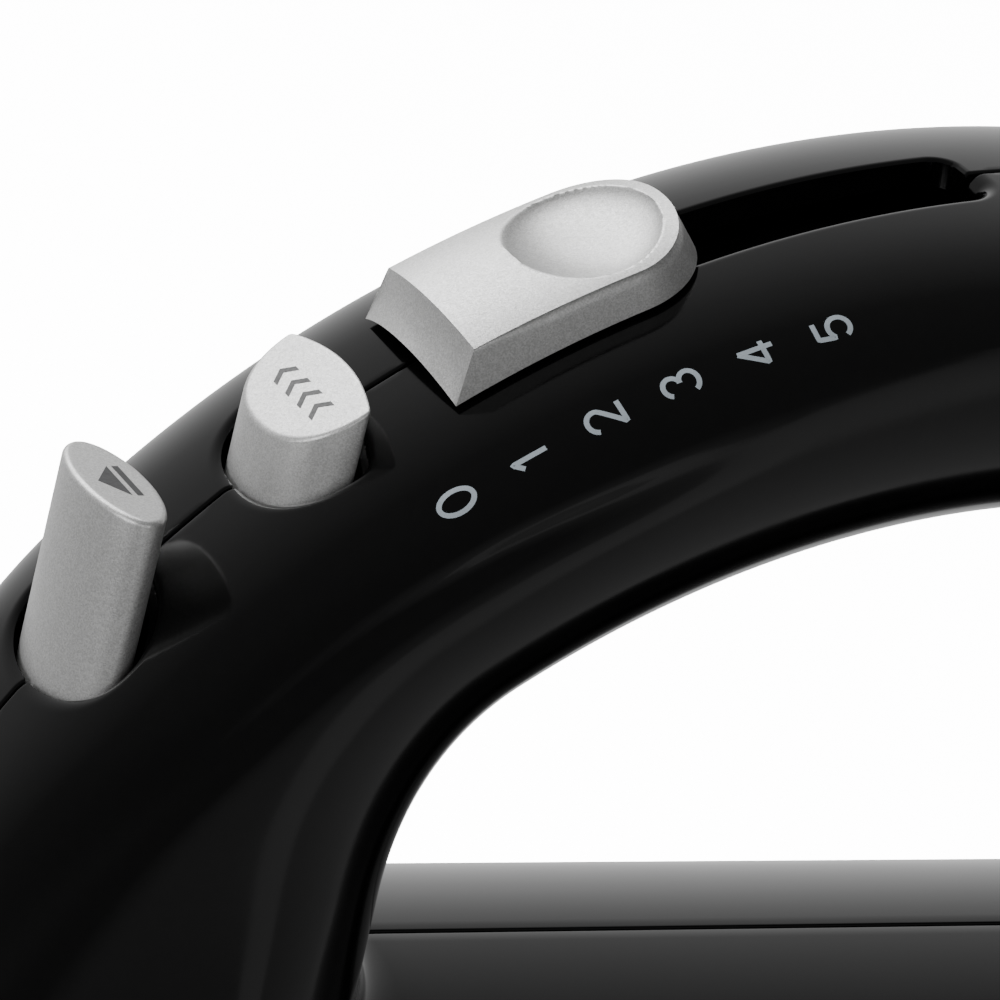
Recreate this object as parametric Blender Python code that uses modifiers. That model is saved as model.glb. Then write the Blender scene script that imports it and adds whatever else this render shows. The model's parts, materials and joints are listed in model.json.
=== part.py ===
"""Hand mixer with an arched loop handle, as an assembly of separate solids.

Frame: +X towards the heel (rear), -X towards the nose, +Z up, +Y to the
user's right.  The origin is the centre of the grip, under the top of the arch.
Lengths in the named constants are millimetres; MM turns them into metres.
"""
import math

import bmesh
import bpy
import numpy as np
from mathutils import Matrix, Vector

MM = 0.001

# ---------------------------------------------------------------- dimensions
# handle arch
ARC_R = 110.0            # outer radius of the arched handle
ARC_CZ = -94.5           # height of the arch's centre
ARC_TIGHTEN = 0.028      # the arch tightens slightly towards the nose
HOLE_R = 82.8            # radius of the underside of the handle
HOLE_FRONT = -56.5       # front face of the finger opening
HOLE_REAR = 61.5         # rear face of the finger opening
GRIP_HALF = 18.64        # half width of the grip
CROWN_DROP = 8.7         # top of the grip down to its widest line
CROWN_EXP = 2.46
BELLY_DROP = 18.8        # widest line down to the underside
BELLY_EXP = 2.3
REAR_X = 98.0            # rear end of the housing
REAR_EXP = 2.35
# motor body
BODY_Z = -89.5           # height of the widest line of the body
BODY_HALF = 38.5         # half width of the body
BODY_H = 35.5            # half height of the body
BODY_TOP_EXP = 2.1
BODY_LOW_EXP = 2.8
NOSE_START, NOSE_LEN, NOSE_EXP = -50.0, 54.0, 2.2
HEEL_START, HEEL_LEN, HEEL_EXP = 84.0, 14.0, 5.0
FLARE = 7.0              # the pillar widens towards the nose
FILLET = 4.0
WALL = 2.4               # moulding thickness
SEAM = 0.15              # each half stops this far from the centre plane
FINE_S, FINE_P = 48, 8   # stations round the loop, steps across a half section

# controls
SLOT_FRONT, SLOT_REAR = -35.2, -7.6      # speed slot, degrees on the arch
SLOT_HALF = 3.6
KNOB_FRONT, KNOB_REAR = -34.05, -21.35   # foot of the knob
KNOB_TOP_FRONT, KNOB_TOP_REAR = -32.5, -22.0
KNOB_HALF, KNOB_TOP_HALF = 8.2, 7.7
KNOB_R = 113.0                           # edge of the knob's top
STEM_FRONT, STEM_REAR = -33.2, -26.2
SPEED_TRAVEL = 17.665                    # degrees, five steps
EJECT_X, EJECT_RX, EJECT_RY = -84.15, 3.05, 7.5
EJECT_TOP, EJECT_SLOPE = -14.5, 1.0
TURBO_X0, TURBO_X1, TURBO_HALF = -73.4, -66.9, 7.43
TURBO_BULGE = 1.1                        # the rear side is slightly convex
TURBO_TOP, TURBO_SLOPE = -4.7, 40.0      # height of the rear corners, slope of the top

# drive
MOTOR_Z = -90.0
WHEEL_X, WHEEL_Y = -72.0, 17.5
WHEEL_TEETH = 24
WHEEL_R = 13.0                           # pitch radius
WORM_R = WHEEL_Y - WHEEL_R               # pitch radius of the worm
PITCH = 2.0 * math.pi * WHEEL_R / WHEEL_TEETH
GAP = 0.3                                # clearance between touching pieces

# beaters
BEATER_R = 21.0
BEATER_TOP, BEATER_LOW = -153.4, -243.0
WIRE_R = 1.25

# screws that hold the two halves (x, z)
CASE_SCREWS = [(-68.0, -56.5), (-41.0, -114.5), (84.0, -112.0), (76.0, -29.0), (40.6, -7.5)]

# ------------------------------------------------------------- scene helpers
for o in list(bpy.data.objects):
    bpy.data.objects.remove(o, do_unlink=True)

PARTS = bpy.data.collections.new("hand_mixer")
CUTS = bpy.data.collections.new("hand_mixer_cutters")
bpy.context.scene.collection.children.link(PARTS)
bpy.context.scene.collection.children.link(CUTS)

MATS = {}


def material(name, colour, rough, metal=0.0):
    m = bpy.data.materials.new(name)
    m.use_nodes = True
    b = m.node_tree.nodes["Principled BSDF"]
    b.inputs["Base Color"].default_value = (colour[0], colour[1], colour[2], 1.0)
    b.inputs["Roughness"].default_value = rough
    b.inputs["Metallic"].default_value = metal
    m.diffuse_color = (colour[0], colour[1], colour[2], 1.0)
    MATS[name] = m


material("gloss_black", (0.012, 0.012, 0.013), 0.12)
material("silver_paint", (0.62, 0.63, 0.65), 0.38, 0.75)
material("dark_plastic", (0.02, 0.02, 0.022), 0.45)
material("grey_plastic", (0.20, 0.21, 0.22), 0.5)
material("white_nylon", (0.80, 0.79, 0.74), 0.45)
material("steel", (0.62, 0.62, 0.63), 0.25, 1.0)
material("zinc_steel", (0.55, 0.56, 0.58), 0.35, 1.0)
material("lamination", (0.28, 0.28, 0.29), 0.5, 0.9)
material("copper", (0.72, 0.32, 0.14), 0.3, 1.0)
material("bronze", (0.55, 0.38, 0.18), 0.4, 1.0)
material("carbon", (0.03, 0.03, 0.03), 0.7)
material("board_green", (0.03, 0.16, 0.07), 0.5)
material("rubber", (0.03, 0.03, 0.03), 0.8)
material("capacitor_yellow", (0.62, 0.44, 0.06), 0.5)


def link(obj, mat, coll=PARTS, smooth=None):
    coll.objects.link(obj)
    if mat:
        obj.data.materials.clear()
        obj.data.materials.append(MATS[mat])
    if smooth is not None and obj.type == "MESH":
        obj.data.shade_smooth()
        obj.data.set_sharp_from_angle(angle=math.radians(smooth))
    return obj


def as_cutter(obj):
    for c in list(obj.users_collection):
        c.objects.unlink(obj)
    CUTS.objects.link(obj)
    obj.hide_render = True
    obj.display_type = "WIRE"
    return obj


def mesh_obj(name, bm, mat, smooth=None):
    bmesh.ops.recalc_face_normals(bm, faces=bm.faces)
    me = bpy.data.meshes.new(name)
    bm.to_mesh(me)
    bm.free()
    return link(bpy.data.objects.new(name, me), mat, smooth=smooth)


AXIS_ROT = {"X": Matrix.Rotation(math.radians(90), 4, "Y"),
            "Y": Matrix.Rotation(math.radians(-90), 4, "X"),
            "Z": Matrix.Identity(4)}


def cylinder(name, axis, centre, a, b, r, mat, seg=20, r2=None):
    """Cylinder or cone along an axis; centre is the two other coordinates in X, Y, Z order."""
    bm = bmesh.new()
    bmesh.ops.create_cone(bm, cap_ends=True, cap_tris=False, segments=seg,
                          radius1=r * MM, radius2=(r if r2 is None else r2) * MM, depth=(b - a) * MM)
    mid = (a + b) / 2.0
    loc = {"X": (mid, centre[0], centre[1]), "Y": (centre[0], mid, centre[1]),
           "Z": (centre[0], centre[1], mid)}[axis]
    bmesh.ops.transform(bm, matrix=AXIS_ROT[axis], verts=bm.verts)
    o = mesh_obj(name, bm, mat, smooth=40)
    o.location = Vector(loc) * MM
    return o


def box(name, lo, hi, mat, bevel=0.0, seg=1):
    bm = bmesh.new()
    bmesh.ops.create_cube(bm, size=1.0)
    size = [(h - l) * MM for l, h in zip(lo, hi)]
    bmesh.ops.scale(bm, vec=size, verts=bm.verts)
    if bevel:
        bmesh.ops.bevel(bm, geom=list(bm.edges), offset=bevel * MM, segments=seg, affect="EDGES", profile=0.5)
    o = mesh_obj(name, bm, mat)
    o.location = Vector([(l + h) / 2.0 * MM for l, h in zip(lo, hi)])
    return o


def turned(name, axis, centre, profile, mat, steps=16, ring=False):
    """Turned shape: profile of (radius, position along the axis), listed top to bottom on the
    outside.  A ring's profile goes on round the inside and closes."""
    me = bpy.data.meshes.new(name)
    verts = [(r * MM, 0.0, h * MM) for r, h in profile]
    edges = [(i, i + 1) for i in range(len(verts) - 1)]
    if ring:
        edges.append((len(verts) - 1, 0))
    me.from_pydata(verts, edges, [])
    o = link(bpy.data.objects.new(name, me), mat)
    s = o.modifiers.new("turn", "SCREW")
    s.axis = "Z"
    s.angle = math.radians(360)
    s.steps = steps
    s.render_steps = steps
    s.use_merge_vertices = True
    s.merge_threshold = 0.00002
    s.use_smooth_shade = True
    loc = {"X": (0.0, centre[0], centre[1]), "Y": (centre[0], 0.0, centre[1]),
           "Z": (centre[0], centre[1], 0.0)}[axis]
    o.matrix_world = Matrix.Translation(Vector(loc) * MM) @ AXIS_ROT[axis]
    return o


def tube_ring(name, axis, centre, a, b, r_out, r_in, mat, steps=16):
    return turned(name, axis, centre, [(r_out, b), (r_out, a), (r_in, a), (r_in, b)], mat, steps, ring=True)


def circle_pts(cx, cy, r, n=16, start=0.0, sweep=360.0):
    full = abs(sweep - 360.0) < 1e-9
    k = n if full else n + 1
    return [(cx + r * math.cos(math.radians(start + sweep * i / n)),
             cy + r * math.sin(math.radians(start + sweep * i / n))) for i in range(k)]


def round_rect(x0, y0, x1, y1, r, n=4):
    pts = []
    for cx, cy, a in ((x1 - r, y1 - r, 0), (x0 + r, y1 - r, 90), (x0 + r, y0 + r, 180), (x1 - r, y0 + r, 270)):
        pts += circle_pts(cx, cy, r, n, a, 90.0)
    return pts


def stadium(cx, cy, half, r, n=10):
    """Outline of a slot-shaped plate, long along the second coordinate."""
    return circle_pts(cx, cy + half, r, n, 0, 180.0) + circle_pts(cx, cy - half, r, n, 180, 180.0)


def to_mesh(obj, merge=0.00001):
    """Curve object -> mesh object with welded caps, in place."""
    dg = bpy.context.evaluated_depsgraph_get()
    dg.update()
    me = bpy.data.meshes.new_from_object(obj.evaluated_get(dg))
    bm = bmesh.new()
    bm.from_mesh(me)
    bmesh.ops.remove_doubles(bm, verts=bm.verts, dist=merge)
    bmesh.ops.recalc_face_normals(bm, faces=bm.faces)
    bm.to_mesh(me)
    bm.free()
    name, mw = obj.name, obj.matrix_world.copy()
    mats = [m for m in obj.data.materials]
    bpy.data.objects.remove(obj, do_unlink=True)
    new = bpy.data.objects.new(name, me)
    PARTS.objects.link(new)
    me.materials.clear()
    for m in mats:
        me.materials.append(m)
    new.matrix_world = mw
    return new


def plate(name, outlines, plane, a, b, mat, mesh=True):
    """Flat outline (first) with holes (the rest), extruded from a to b across the plane.
    plane 'XY': outline is (x, y), extruded along Z.  'YZ': (y, z) along X.  'XZ': (x, z) along Y."""
    cu = bpy.data.curves.new(name, "CURVE")
    cu.dimensions = "2D"
    cu.fill_mode = "BOTH"
    cu.extrude = (b - a) * MM / 2.0
    cu.render_resolution_u = 0
    for pts in outlines:
        sp = cu.splines.new("POLY")
        sp.points.add(len(pts) - 1)
        for p, (u, v) in zip(sp.points, pts):
            p.co = (u * MM, v * MM, 0.0, 1.0)
        sp.use_cyclic_u = True
    o = link(bpy.data.objects.new(name, cu), mat)
    mid = (a + b) / 2.0 * MM
    if plane == "XY":
        o.matrix_world = Matrix.Translation((0, 0, mid))
    elif plane == "YZ":
        o.matrix_world = Matrix.Translation((mid, 0, 0)) @ Matrix(((0, 0, 1, 0), (1, 0, 0, 0), (0, 1, 0, 0), (0, 0, 0, 1)))
    else:
        o.matrix_world = Matrix.Translation((0, mid, 0)) @ Matrix(((1, 0, 0, 0), (0, 0, -1, 0), (0, 1, 0, 0), (0, 0, 0, 1)))
    bpy.context.view_layer.update()
    return to_mesh(o) if mesh else o


def wire(name, pts, r, mat, cyclic=False, res=2):
    cu = bpy.data.curves.new(name, "CURVE")
    cu.dimensions = "3D"
    cu.bevel_depth = r * MM
    cu.bevel_resolution = res
    cu.use_fill_caps = True
    cu.render_resolution_u = 0
    sp = cu.splines.new("POLY")
    sp.points.add(len(pts) - 1)
    for p, q in zip(sp.points, pts):
        p.co = (q[0] * MM, q[1] * MM, q[2] * MM, 1.0)
    sp.use_cyclic_u = cyclic
    return link(bpy.data.objects.new(name, cu), mat)


def boolean(obj, other, op="DIFFERENCE", solver="EXACT"):
    m = obj.modifiers.new(op.lower()[:5], "BOOLEAN")
    m.operation = op
    m.object = as_cutter(other)
    m.solver = solver
    return obj


# ---------------------------------------------------------- housing surface
def sstep(a, b, v):
    t = np.clip((v - a) / (b - a), 0.0, 1.0)
    return t * t * (3.0 - 2.0 * t)


def smax(a, b, k):
    h = np.maximum(k - np.abs(a - b), 0.0) / k
    return np.maximum(a, b) + h * h * k * 0.25


def smin(a, b, k):
    return -smax(-a, -b, k)


def arc_radius(th):
    """Outer radius of the arch at angle th from the top (front negative)."""
    front = ARC_R * (1.0 - ARC_TIGHTEN * np.maximum(0.0, -th - 0.2) ** 2)
    rear = (np.abs(np.sin(th) / REAR_X) ** REAR_EXP + np.abs(np.cos(th) / ARC_R) ** REAR_EXP) ** (-1.0 / REAR_EXP)
    w = sstep(math.radians(8), math.radians(62), th)
    return np.where(th < 0.0, front, ARC_R * (1.0 - w) + rear * w)


def field(x, y, z):
    """About the signed distance to the outer surface of the housing, in mm, negative inside."""
    th = np.arctan2(x, z - ARC_CZ)
    rho = np.hypot(x, z - ARC_CZ)
    d_o = arc_radius(th) - rho
    d_i = smax(smax(rho - HOLE_R, HOLE_FRONT - x, 8.0), x - HOLE_REAR, 10.0)
    flare = FLARE * sstep(math.radians(-46), math.radians(-84), th) * sstep(3.0, 26.0, d_o) \
        + 5.0 * sstep(math.radians(50), math.radians(80), th) * sstep(3.0, 20.0, d_o)
    a = GRIP_HALF + flare
    v = np.abs(y) / a
    uo = np.maximum(0.0, 1.0 - d_o / CROWN_DROP)
    ui = np.maximum(0.0, 1.0 - d_i / BELLY_DROP)
    f_o = (uo ** CROWN_EXP + v ** CROWN_EXP) ** (1.0 / CROWN_EXP) - 1.0
    f_i = (ui ** BELLY_EXP + v ** BELLY_EXP) ** (1.0 / BELLY_EXP) - 1.0
    f_h = np.maximum(np.maximum(f_o, f_i) * BELLY_DROP, -98.0 - z)
    zt = (z - BODY_Z) / BODY_H
    p = np.where(zt > 0.0, BODY_TOP_EXP, BODY_LOW_EXP)
    r = (np.abs(y / BODY_HALF) ** p + np.abs(zt) ** p) ** (1.0 / p)
    xn = np.maximum(0.0, (NOSE_START - x) / NOSE_LEN)
    xh = np.maximum(0.0, (x - HEEL_START) / HEEL_LEN)
    f_b = np.where(x < 0.0, (r ** NOSE_EXP + xn ** NOSE_EXP) ** (1.0 / NOSE_EXP),
                   (r ** HEEL_EXP + xh ** HEEL_EXP) ** (1.0 / HEEL_EXP)) - 1.0
    return smin(f_h, f_b * 36.0, FILLET)


# stations round the loop: a point on the finger opening and the point of the outline across from it
STATIONS = [((0, -12), (0, 15.5)), ((-15, -13), (-19.5, 13.8)), ((-30, -17.3), (-38.5, 8.5)),
            ((-44, -24.5), (-57, -0.8)), ((-53.5, -32.5), (-73, -13)), ((-57, -39), (-86, -30)),
            ((-57, -45), (-96, -50)), ((-57, -50), (-102, -72)), ((-55.5, -53.6), (-104, -95)),
            ((-52, -54), (-97, -113)), ((-47, -54), (-80, -123)), ((-39, -54), (-58, -125)),
            ((-24, -54), (-34, -125)), ((0, -54), (0, -125)), ((24, -54), (32, -125)),
            ((40, -54), (56, -125)), ((50, -54), (76, -124.5)), ((57, -54), (94, -116)),
            ((61, -51), (98, -95)), ((62, -46), (98, -70)), ((61.5, -40), (93, -42)),
            ((57, -33), (79, -18)), ((44, -24.5), (57, -1)), ((30, -17.3), (38.5, 8)), ((15, -13), (19.5, 13.8))]


def periodic_spline(keys, n):
    """Closed cubic spline through the keys, read at n points evenly spread over the keys."""
    keys = np.asarray(keys, float)
    m = len(keys)
    mat = np.zeros((m, m))
    for i in range(m):
        mat[i, i] = 4.0
        mat[i, (i - 1) % m] = 1.0
        mat[i, (i + 1) % m] = 1.0
    rhs = 3.0 * (np.roll(keys, -1, axis=0) - np.roll(keys, 1, axis=0))
    tang = np.linalg.solve(mat, rhs)
    t = np.arange(n) * m / float(n)
    i = np.floor(t).astype(int) % m
    u = (t - np.floor(t))[:, None]
    j = (i + 1) % m
    return ((2 * u ** 3 - 3 * u ** 2 + 1) * keys[i] + (u ** 3 - 2 * u ** 2 + u) * tang[i]
            + (-2 * u ** 3 + 3 * u ** 2) * keys[j] + (u ** 3 - u ** 2) * tang[j])


def half_section_grid(n_s, n_p, depth):
    """Grid of points (n_s, n_p + 1, 3) on the half surface at y > 0, depth mm under the outside."""
    st = periodic_spline([[i[0], i[1], o[0], o[1]] for i, o in STATIONS], n_s)
    inner, outer = st[:, :2], st[:, 2:]
    d = outer - inner
    d /= np.linalg.norm(d, axis=1)[:, None]
    mid = outer * 0.56 + inner * 0.44
    phi = np.linspace(0.0, math.pi, n_p + 1)
    cs, sn = np.cos(phi)[None, :], np.sin(phi)[None, :]
    ux = d[:, 0:1] * cs
    uz = d[:, 1:2] * cs
    uy = np.repeat(sn, n_s, axis=0)
    lo = np.zeros_like(ux)
    hi = np.full_like(ux, 60.0)
    for _ in range(44):
        m = 0.5 * (lo + hi)
        f = field(mid[:, 0:1] + ux * m, uy * m, mid[:, 1:2] + uz * m) + depth
        inside = f < 0.0
        lo = np.where(inside, m, lo)
        hi = np.where(inside, hi, m)
    r = 0.5 * (lo + hi)
    return np.stack([mid[:, 0:1] + ux * r, uy * r, mid[:, 1:2] + uz * r], axis=-1)


def half_solid(name, side, depth, y_face, mat):
    """Closed solid between the half surface and the plane y = y_face."""
    g = half_section_grid(FINE_S, FINE_P, depth)
    n_s, n_p = g.shape[0], g.shape[1]
    bm = bmesh.new()
    rows = []
    for i in range(n_s):
        row = []
        for j in range(n_p):
            x, y, z = g[i, j]
            if j in (0, n_p - 1):
                y = y_face
            row.append(bm.verts.new((x * MM, side * y * MM, z * MM)))
        rows.append(row)
    for i in range(n_s):
        k = (i + 1) % n_s
        for j in range(n_p - 1):
            bm.faces.new((rows[i][j], rows[k][j], rows[k][j + 1], rows[i][j + 1]))
        bm.faces.new((rows[i][0], rows[i][n_p - 1], rows[k][n_p - 1], rows[k][0]))
    bmesh.ops.triangulate(bm, faces=bm.faces)
    return mesh_obj(name, bm, mat, smooth=35)


def on_arc(deg, radius):
    t = math.radians(deg)
    return radius * math.sin(t), ARC_CZ + radius * math.cos(t)


def arc_block(name, a0, a1, r0, r1, half, mat, n=10, y0=None):
    """Block that follows the arch, between two angles and two radii."""
    pts = [on_arc(a0 + (a1 - a0) * i / n, r1) for i in range(n + 1)]
    pts += [on_arc(a1 - (a1 - a0) * i / n, r0) for i in range(n + 1)]
    return plate(name, [pts], "XZ", -half if y0 is None else y0, half, mat)


def ellipse_prism(name, cx, rx, ry, z0, z1, mat, seg=24):
    pts = [(cx + rx * math.cos(2 * math.pi * i / seg), ry * math.sin(2 * math.pi * i / seg)) for i in range(seg)]
    return plate(name, [pts], "XY", z0, z1, mat)


def d_outline(x0, x1, half, grow=0.0, n=12):
    """Plan of the boost button: nearly straight towards the rear, rounded towards the nose."""
    x0, x1, half = x0 - grow, x1 + grow, half + grow
    corner = x1 - TURBO_BULGE
    pts = []
    for i in range(n + 1):                       # rounded front, from -Y to +Y
        t = math.pi * (i / n - 0.5)
        pts.append((corner - (corner - x0) * abs(math.cos(t)) ** 0.87, half * math.copysign(abs(math.sin(t)) ** 0.87, t)))
    for i in range(1, 4):                        # slightly convex rear side
        y = half - 2.0 * half * i / 4.0
        pts.append((x1 - TURBO_BULGE * (y / half) ** 2, y))
    return pts


def slope_top(obj, z_mid, x_mid, slope_deg, z_min):
    """Tilt every vertex above z_min onto the sloped top plane, rising to the rear."""
    inv = obj.matrix_world.inverted()
    for v in obj.data.vertices:
        w = obj.matrix_world @ v.co
        if w.z > z_min * MM:
            w.z = (z_mid + math.tan(math.radians(slope_deg)) * (w.x / MM - x_mid)) * MM
            v.co = inv @ w
    return obj


def make_half(name, right):
    """One clamshell half, built at y > 0.  The right half takes the screw heads, and the left
    half, which is mirrored at the end, takes the pilot bosses."""
    half = half_solid(name, 1, 0.0, SEAM, "gloss_black")
    cav = half_solid("cavity_" + name, 1, WALL, -1.0, None)
    for n, (x, z) in enumerate(CASE_SCREWS):
        boolean(cav, cylinder("boss_%s_%d" % (name, n), "Y", (x, z), -0.5, 60.0, 5.2 if right else 4.0, None, seg=12))
    boolean(half, cav)
    boolean(half, arc_block("slot_cut_" + name, SLOT_FRONT, SLOT_REAR, 99.0, 117.0, SLOT_HALF, None, n=8))
    for n, (x, z) in enumerate(CASE_SCREWS):
        boolean(half, cylinder("bore_%s_%d" % (name, n), "Y", (x, z), -1.0, 30.0 if right else 11.0, 1.9, None, seg=12))
        if right:
            boolean(half, cylinder("sink_%s_%d" % (name, n), "Y", (x, z), 8.0, 60.0, 3.5, None, seg=14))
    # openings that both halves share
    boolean(half, ellipse_prism("eject_cut_" + name, EJECT_X, EJECT_RX + 0.8, EJECT_RY + 0.8, -45.0, 0.0, None))
    boolean(half, plate("turbo_cut_" + name, [d_outline(TURBO_X0, TURBO_X1, TURBO_HALF, 0.8)], "XY", -28.0, 6.0, None))
    boolean(half, plate("socket_cut_" + name, [stadium(WHEEL_X, 0.0, WHEEL_Y, 13.9, 8)], "XY", -135.0, -111.0, None))
    boolean(half, cylinder("gland_cut_" + name, "X", (0.0, -38.0), 80.0, 110.0, 6.4, None, seg=16))
    for k in range(5):
        x = 32.0 + 9.0 * k
        boolean(half, box("vent_cut_%s_%d" % (name, k), (x, 8.0, -135.0), (x + 3.5, 24.0, -105.0), None))
    if right:
        return half
    dg = bpy.context.evaluated_depsgraph_get()
    dg.update()
    me = bpy.data.meshes.new_from_object(half.evaluated_get(dg))
    me.transform(Matrix.Diagonal((1.0, -1.0, 1.0, 1.0)))
    me.flip_normals()
    bpy.data.objects.remove(half, do_unlink=True)
    return link(bpy.data.objects.new(name, me), "gloss_black", smooth=35)


make_half("housing_right", True)
make_half("housing_left", False)

# ------------------------------------------------------------------ fasteners
for n, (x, z) in enumerate(CASE_SCREWS):
    s = turned("case_screw_%d" % (n + 1), "Y", (x, z),
               [(0.0, 8.6), (2.3, 8.6), (3.0, 7.6), (3.0, 6.6), (1.5, 6.0), (1.5, -8.2), (0.0, -9.6)], "zinc_steel", 12)
    s.location.y = 2.4 * MM

# ------------------------------------------------------------- speed control
def knob():
    """Slider knob: follows the arch, upright front face, rounded rear, thumb dish in the top."""
    n, m = 12, 8
    bm = bmesh.new()
    rows = []
    for i in range(n + 1):
        u = 1.0 - (1.0 - i / n) ** 1.5
        end = (1.0 - max(0.0, (u - 0.70) / 0.30) ** 2.1) ** (1.0 / 2.2) if i < n else 0.0
        deg_l = KNOB_FRONT + (KNOB_REAR - KNOB_FRONT) * u
        deg_h = KNOB_TOP_FRONT + (KNOB_TOP_REAR - KNOB_TOP_FRONT) * u
        half_l, half_h = max(KNOB_HALF * end, 1.6), max(KNOB_TOP_HALF * end, 1.4)
        row = []
        for k in range(m + 1):
            t = -1.0 + 2.0 * k / m
            yl, yh = half_l * t, half_h * t
            drop = CROWN_DROP * (1.0 - max(0.0, 1.0 - abs(yl / GRIP_HALF) ** CROWN_EXP) ** (1.0 / CROWN_EXP))
            low = float(arc_radius(math.radians(deg_l))) + 0.4 - drop + 1.1 * (1.0 - (yl / KNOB_HALF) ** 2)
            high = KNOB_R + 1.0 * (1.0 - (yh / KNOB_TOP_HALF) ** 2)
            high -= 1.7 * max(0.0, 1.0 - ((deg_h + 25.6) / 3.1) ** 2 - (yh / 6.9) ** 2)
            xl, zl = on_arc(deg_l, low)
            xh, zh = on_arc(deg_h, high)
            row.append((bm.verts.new((xl * MM, yl * MM, zl * MM)), bm.verts.new((xh * MM, yh * MM, zh * MM))))
        rows.append(row)
    for i in range(n):
        for k in range(m):
            a, b, c, d = rows[i][k], rows[i + 1][k], rows[i + 1][k + 1], rows[i][k + 1]
            bm.faces.new((a[1], b[1], c[1], d[1]))
            bm.faces.new((a[0], d[0], c[0], b[0]))
        bm.faces.new((rows[i][0][0], rows[i + 1][0][0], rows[i + 1][0][1], rows[i][0][1]))
        bm.faces.new((rows[i][m][1], rows[i + 1][m][1], rows[i + 1][m][0], rows[i][m][0]))
    for k in range(m):
        bm.faces.new((rows[0][k][0], rows[0][k][1], rows[0][k + 1][1], rows[0][k + 1][0]))
        bm.faces.new((rows[n][k][1], rows[n][k][0], rows[n][k + 1][0], rows[n][k + 1][1]))
    return mesh_obj("speed_knob", bm, "silver_paint", smooth=40)


k_obj = knob()
boolean(k_obj, arc_block("stem_join", STEM_FRONT, STEM_REAR, 105.2, 111.6, 2.7, None, n=3), "UNION")

arc_block("slider_carrier", -36.2, -6.2, 103.2, 104.9, 6.2, "dark_plastic", n=10)
carrier = bpy.data.objects["slider_carrier"]
boolean(carrier, arc_block("carrier_lug", -31.5, -28.5, 100.9, 104.0, 4.0, None, n=1), "UNION")

sx, sz = on_arc(-20.0, 93.0)
sw = box("speed_switch", (-21.0, -6.0, -4.6), (21.0, 6.0, 4.6), "grey_plastic", 0.6)
sw.location = Vector((sx, 0.0, sz)) * MM
sw.rotation_euler = (0.0, math.radians(-20.0), 0.0)

# ------------------------------------------------------------- boost button
turbo = plate("turbo_button", [d_outline(TURBO_X0, TURBO_X1, TURBO_HALF)], "XY", -26.2, TURBO_TOP, "silver_paint")
slope_top(turbo, TURBO_TOP, TURBO_X1 - TURBO_BULGE, TURBO_SLOPE, -10.0)
boolean(turbo, plate("turbo_flange", [d_outline(TURBO_X0, TURBO_X1, TURBO_HALF, 1.4)], "XY", -28.6, -25.9, None), "UNION")
boolean(turbo, cylinder("turbo_stem", "Z", (-72.5, 0.0), -35.4, -28.0, 1.6, None, seg=12), "UNION")
box("turbo_switch", (-78.0, -6.0, -47.0), (-66.5, 6.0, -39.2), "grey_plastic", 0.5)
wire("turbo_spring", [(-72.5 + 3.1 * math.cos(a), 3.1 * math.sin(a), -38.5 + 9.3 * a / (2 * math.pi * 4.0))
                      for a in [2 * math.pi * i / 8.0 for i in range(33)]], 0.35, "steel")

# ------------------------------------------------------------- eject linkage
ej = ellipse_prism("eject_button", EJECT_X, EJECT_RX, EJECT_RY, -38.4, EJECT_TOP, "silver_paint", 28)
slope_top(ej, EJECT_TOP, EJECT_X, EJECT_SLOPE, -20.0)
boolean(ej, ellipse_prism("eject_flange", EJECT_X, EJECT_RX + 1.5, EJECT_RY + 1.6, -40.4, -38.2, None, 20), "UNION")

yoke = cylinder("eject_yoke", "Z", (EJECT_X, 0.0), -64.5, -40.8, 2.4, "white_nylon", seg=14)
boolean(yoke, plate("yoke_plate", [[(-88, -5), (-79, -6), (-75.5, -19.4), (-69.0, -19.4), (-69.0, 19.4), (-75.5, 19.4),
                                   (-79, 6), (-88, 5)]], "XY", -66.0, -63.6, None), "UNION")
for s in (-1, 1):
    boolean(yoke, cylinder("yoke_pin_%d" % s, "Z", (WHEEL_X, s * WHEEL_Y), -80.2, -64.8, 2.6, None, seg=12), "UNION")
plate("eject_guide", [round_rect(-91.0, -13.0, -76.5, 13.0, 2.0, 3), circle_pts(EJECT_X, 0.0, 2.9, 14)], "XY", -61.6, -59.2, "dark_plastic")
wire("eject_spring", [(EJECT_X + 3.7 * math.cos(a), 3.7 * math.sin(a), -58.3 + 17.0 * a / (2 * math.pi * 4.0))
                      for a in [2 * math.pi * i / 8.0 for i in range(33)]], 0.45, "steel")

# ---------------------------------------------------------------- motor
mz = MOTOR_Z
cylinder("motor_shaft", "X", (0.0, mz), -87.0, 64.0, 2.5, "steel", seg=16)
win_y, win_z, bore = 23.7, 12.5, 15.3
ang = math.degrees(math.asin(win_z / bore))
inner = circle_pts(0.0, 0.0, bore, 8, ang, 180.0 - 2 * ang) + [(-win_y, win_z), (-win_y, -win_z)] \
    + circle_pts(0.0, 0.0, bore, 8, 180.0 + ang, 180.0 - 2 * ang) + [(win_y, -win_z), (win_y, win_z)]
inner = [(u, v + mz) for u, v in inner]
BOLTS = [(25.3, mz + 16.0), (-25.3, mz - 16.0)]
plate("stator_core", [round_rect(-28.0, mz - 20.0, 28.0, mz + 20.0, 4.0, 3), inner]
      + [circle_pts(u, v, 2.0, 10) for u, v in BOLTS], "YZ", 2.0, 24.0, "lamination")
for tag, s in (("upper", 1), ("lower", -1)):
    pts = []
    for i in range(22):
        t = 2 * math.pi * i / 22.0
        cx, sy = math.cos(t), math.sin(t)
        x = 13.0 + 16.6 * math.copysign(abs(cx) ** 0.35, cx)
        y = 19.4 * math.copysign(abs(sy) ** 0.75, sy)
        lift = 11.2 * (max(0.0, abs(cx) - 0.35) / 0.65) ** 0.5 * (1.0 - (abs(y) / 19.4) ** 2)
        pts.append((x, y, mz + s * (7.8 + lift)))
    wire("field_coil_" + tag, pts, 3.1, "copper", cyclic=True)
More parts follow.
